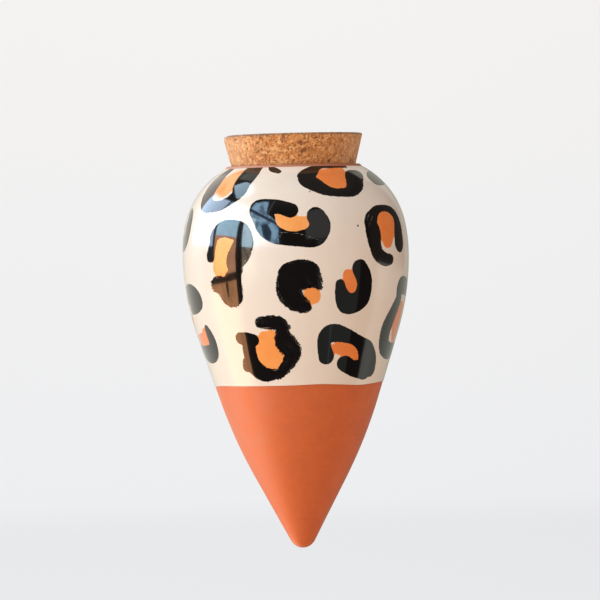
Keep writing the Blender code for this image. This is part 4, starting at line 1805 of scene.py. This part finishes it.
    def backdrop(self) -> bpy.types.Object:
        """A bowl round the object, seen by the camera only: flat floor, round bend and upright wall.

        Returns:
            The bowl.
        """
        columns = self.bowl_columns
        bend = np.linspace(-math.pi / 2, 0.0, self.bend_rows)[1:]
        first, second = self.floor_from
        flat = np.r_[first, np.linspace(second, self.floor_radius, self.floor_rows)]
        r = np.r_[flat, self.floor_radius + self.bend * np.cos(bend)]
        z = self.floor_height + np.r_[0.0 * flat, self.bend * (1.0 + np.sin(bend))]
        r, z = np.r_[r, r[-1]], np.r_[z, self.floor_height + self.wall_height]
        grid = round_grid(np.stack([r, z], axis=-1)[:, None, :].repeat(columns, axis=1), bearings(columns))
        quads, _ = grid_faces(len(r), columns, ring=False)
        floor = np.vstack([grid.reshape(-1, 3), (0, 0, self.floor_height)])
        column = np.arange(columns)
        hub = np.stack([column, (column + 1) % columns, np.full(columns, len(floor) - 1)], axis=-1)
        bowl = Surface("backdrop", floor, quads[:, ::-1], hub).built(self.backdrop_finish())
        for rays in (Seen.DIFFUSE, Seen.GLOSSY, Seen.SHADOW):
            setattr(bowl, rays.value, False)
        return bowl

    def backdrop_finish(self) -> bpy.types.Material:
        """Pale all over, with a share of real shading so that the floor keeps the shadow.

        From behind it is clear, so that the object can be looked at from below the floor.

        Returns:
            The material.
        """
        made, graph, surface = bare_material("backdrop_finish")
        way = graph.add("SeparateXYZ", {0: graph.place()}).outputs
        height, ground = way["Z"], self.floor_height
        tone = graph.mixed(graph.span(height, ground, self.horizon), self.lower_tone, self.upper_tone)
        near = graph.span(height, ground, ground + 0.02, self.shade, 1.0)
        right = graph.span(way["X"], -0.2, 0.9, 1.0, self.shade)
        tone = graph.mixed(1.0, tone, graph.times(near, right), "MULTIPLY")
        glow = graph.add("Emission", {"Color": tone, "Strength": self.glow_share})
        dimmed = graph.mixed(1.0, tone, (self.matt_share,) * 3, "MULTIPLY")
        matt = graph.add("BsdfDiffuse", {"Color": dimmed})
        both = graph.add("AddShader", {0: glow.outputs[0], 1: matt.outputs[0]})
        away = graph.add("NewGeometry").outputs["Backfacing"]
        clear = graph.add("BsdfTransparent")
        shown = graph.add("MixShader", {0: away, 1: both.outputs[0], 2: clear.outputs[0]})
        graph.feed(surface, shown.outputs[0])
        return made

    def world(self) -> None:
        """Soft even light. Glossy surfaces see a dim room in front and a pale wall behind the object."""
        world = bpy.data.worlds.new("studio")
        bpy.context.scene.world = world
        world.use_nodes = True
        graph = Graph(world.node_tree)
        ray = graph.add("LightPath").outputs
        generated = graph.add("TexCoord").outputs["Generated"]
        way = graph.add("SeparateXYZ", {0: generated}).outputs
        room = graph.mixed(graph.span(way["Z"], 0.6, 0.9), self.reflected_room, self.reflected_ceiling)
        wall = graph.mixed(graph.span(way["Y"], 0.15, 0.45), self.reflected_wall, self.reflected_far_wall)
        wall = graph.mixed(graph.span(way["X"], -0.3, 0.1, 1.0, 0.0), wall, self.left_wall, "MULTIPLY")
        wall = graph.mixed(graph.span(way["Z"], 0.15, 0.5), wall, self.upper_wall, "MULTIPLY")
        ground = graph.span(way["Z"], -0.56, -0.34, 1.0, 0.0)
        ground = graph.times(ground, graph.span(way["X"], -0.5, -0.1, 1.0, 0.0))
        wall = graph.mixed(ground, wall, self.reflected_ground)
        skyline = graph.math("MULTIPLY_ADD", graph.math("MAXIMUM", way["Z"], 0.0), -0.9, way["Y"])
        room = graph.mixed(graph.span(skyline, 0.0, 0.07), room, wall)
        tilt = graph.add("VectorMath", {0: generated, 1: self.ambient_tilt}, operation="DOT_PRODUCT")
        level = graph.math("ADD", tilt.outputs["Value"], 1.0)
        rise = graph.vector("SCALE", {0: self.ambient_rise, "Scale": way["Z"]})
        soft = graph.mixed(1.0, self.ambient, graph.vector("ADD", {0: rise, 1: level}), "MULTIPLY")
        seen = graph.mixed(ray["Is Glossy Ray"], soft, room)
        seen = graph.mixed(ray["Is Camera Ray"], seen, self.upper_tone)
        background = world.node_tree.nodes["Background"]
        graph.feed(background.inputs["Color"], seen)

    def window_light(self) -> bpy.types.Object:
        """The soft light from the left. Glossy surfaces reflect the cards in its place.

        Returns:
            The light.
        """
        lamp = bpy.data.lights.new("window_light", "AREA")
        lamp.shape = "RECTANGLE"
        lamp.size, lamp.size_y = self.key_size
        lamp.energy = self.key_power
        lamp.color = self.key_colour
        made = bpy.data.objects.new("window_light", lamp)
        away = Vector(direction(self.key_elevation, self.key_bearing))
        made.location = away * self.key_distance
        made.rotation_euler = away.to_track_quat("Z", "Y").to_euler()
        made.visible_glossy = False
        bpy.context.scene.collection.objects.link(made)
        return made

    def camera(self) -> bpy.types.Object:
        """The camera at the photograph's distance and height, turned by the object's lean in it.

        Returns:
            The camera.
        """
        lens = bpy.data.cameras.new("camera")
        made = bpy.data.objects.new("camera", lens)
        aside, middle = self.frame_middle
        made.location = (aside, -self.sight, self.eye_height)
        look = Vector((aside, 0.0, middle)) - made.location
        turned = look.to_track_quat("-Z", "Y") @ Quaternion((0.0, 0.0, 1.0), -self.lean)
        made.rotation_euler = turned.to_euler()
        lens.sensor_width = self.sensor
        lens.lens = self.sensor * look.length / self.frame_width
        lens.clip_start, lens.clip_end = self.clip
        bpy.context.scene.collection.objects.link(made)
        bpy.context.scene.camera = made
        return made

    def set_up(self) -> None:
        """Builds the whole studio."""
        self.backdrop()
        self.world()
        self.window_light()
        for card in self.cards:
            card.placed()
        self.camera()
        bpy.context.scene.view_settings.view_transform = "Standard"


def main() -> None:
    """Builds the olla's pieces and the studio."""
    logging.basicConfig(level=logging.INFO, format="%(name)s: %(message)s")
    form, effects = PotForm(), SharedEffects()
    for maker in (ClayVessel(form, effects), GlazeCoat(form, effects), CorkStopper(form, effects)):
        piece = maker.built()
        log.info("%s: %d vertices, %d faces", piece.name, len(piece.data.vertices), len(piece.data.polygons))
    Studio().set_up()


if __name__ == "__main__":
    main()
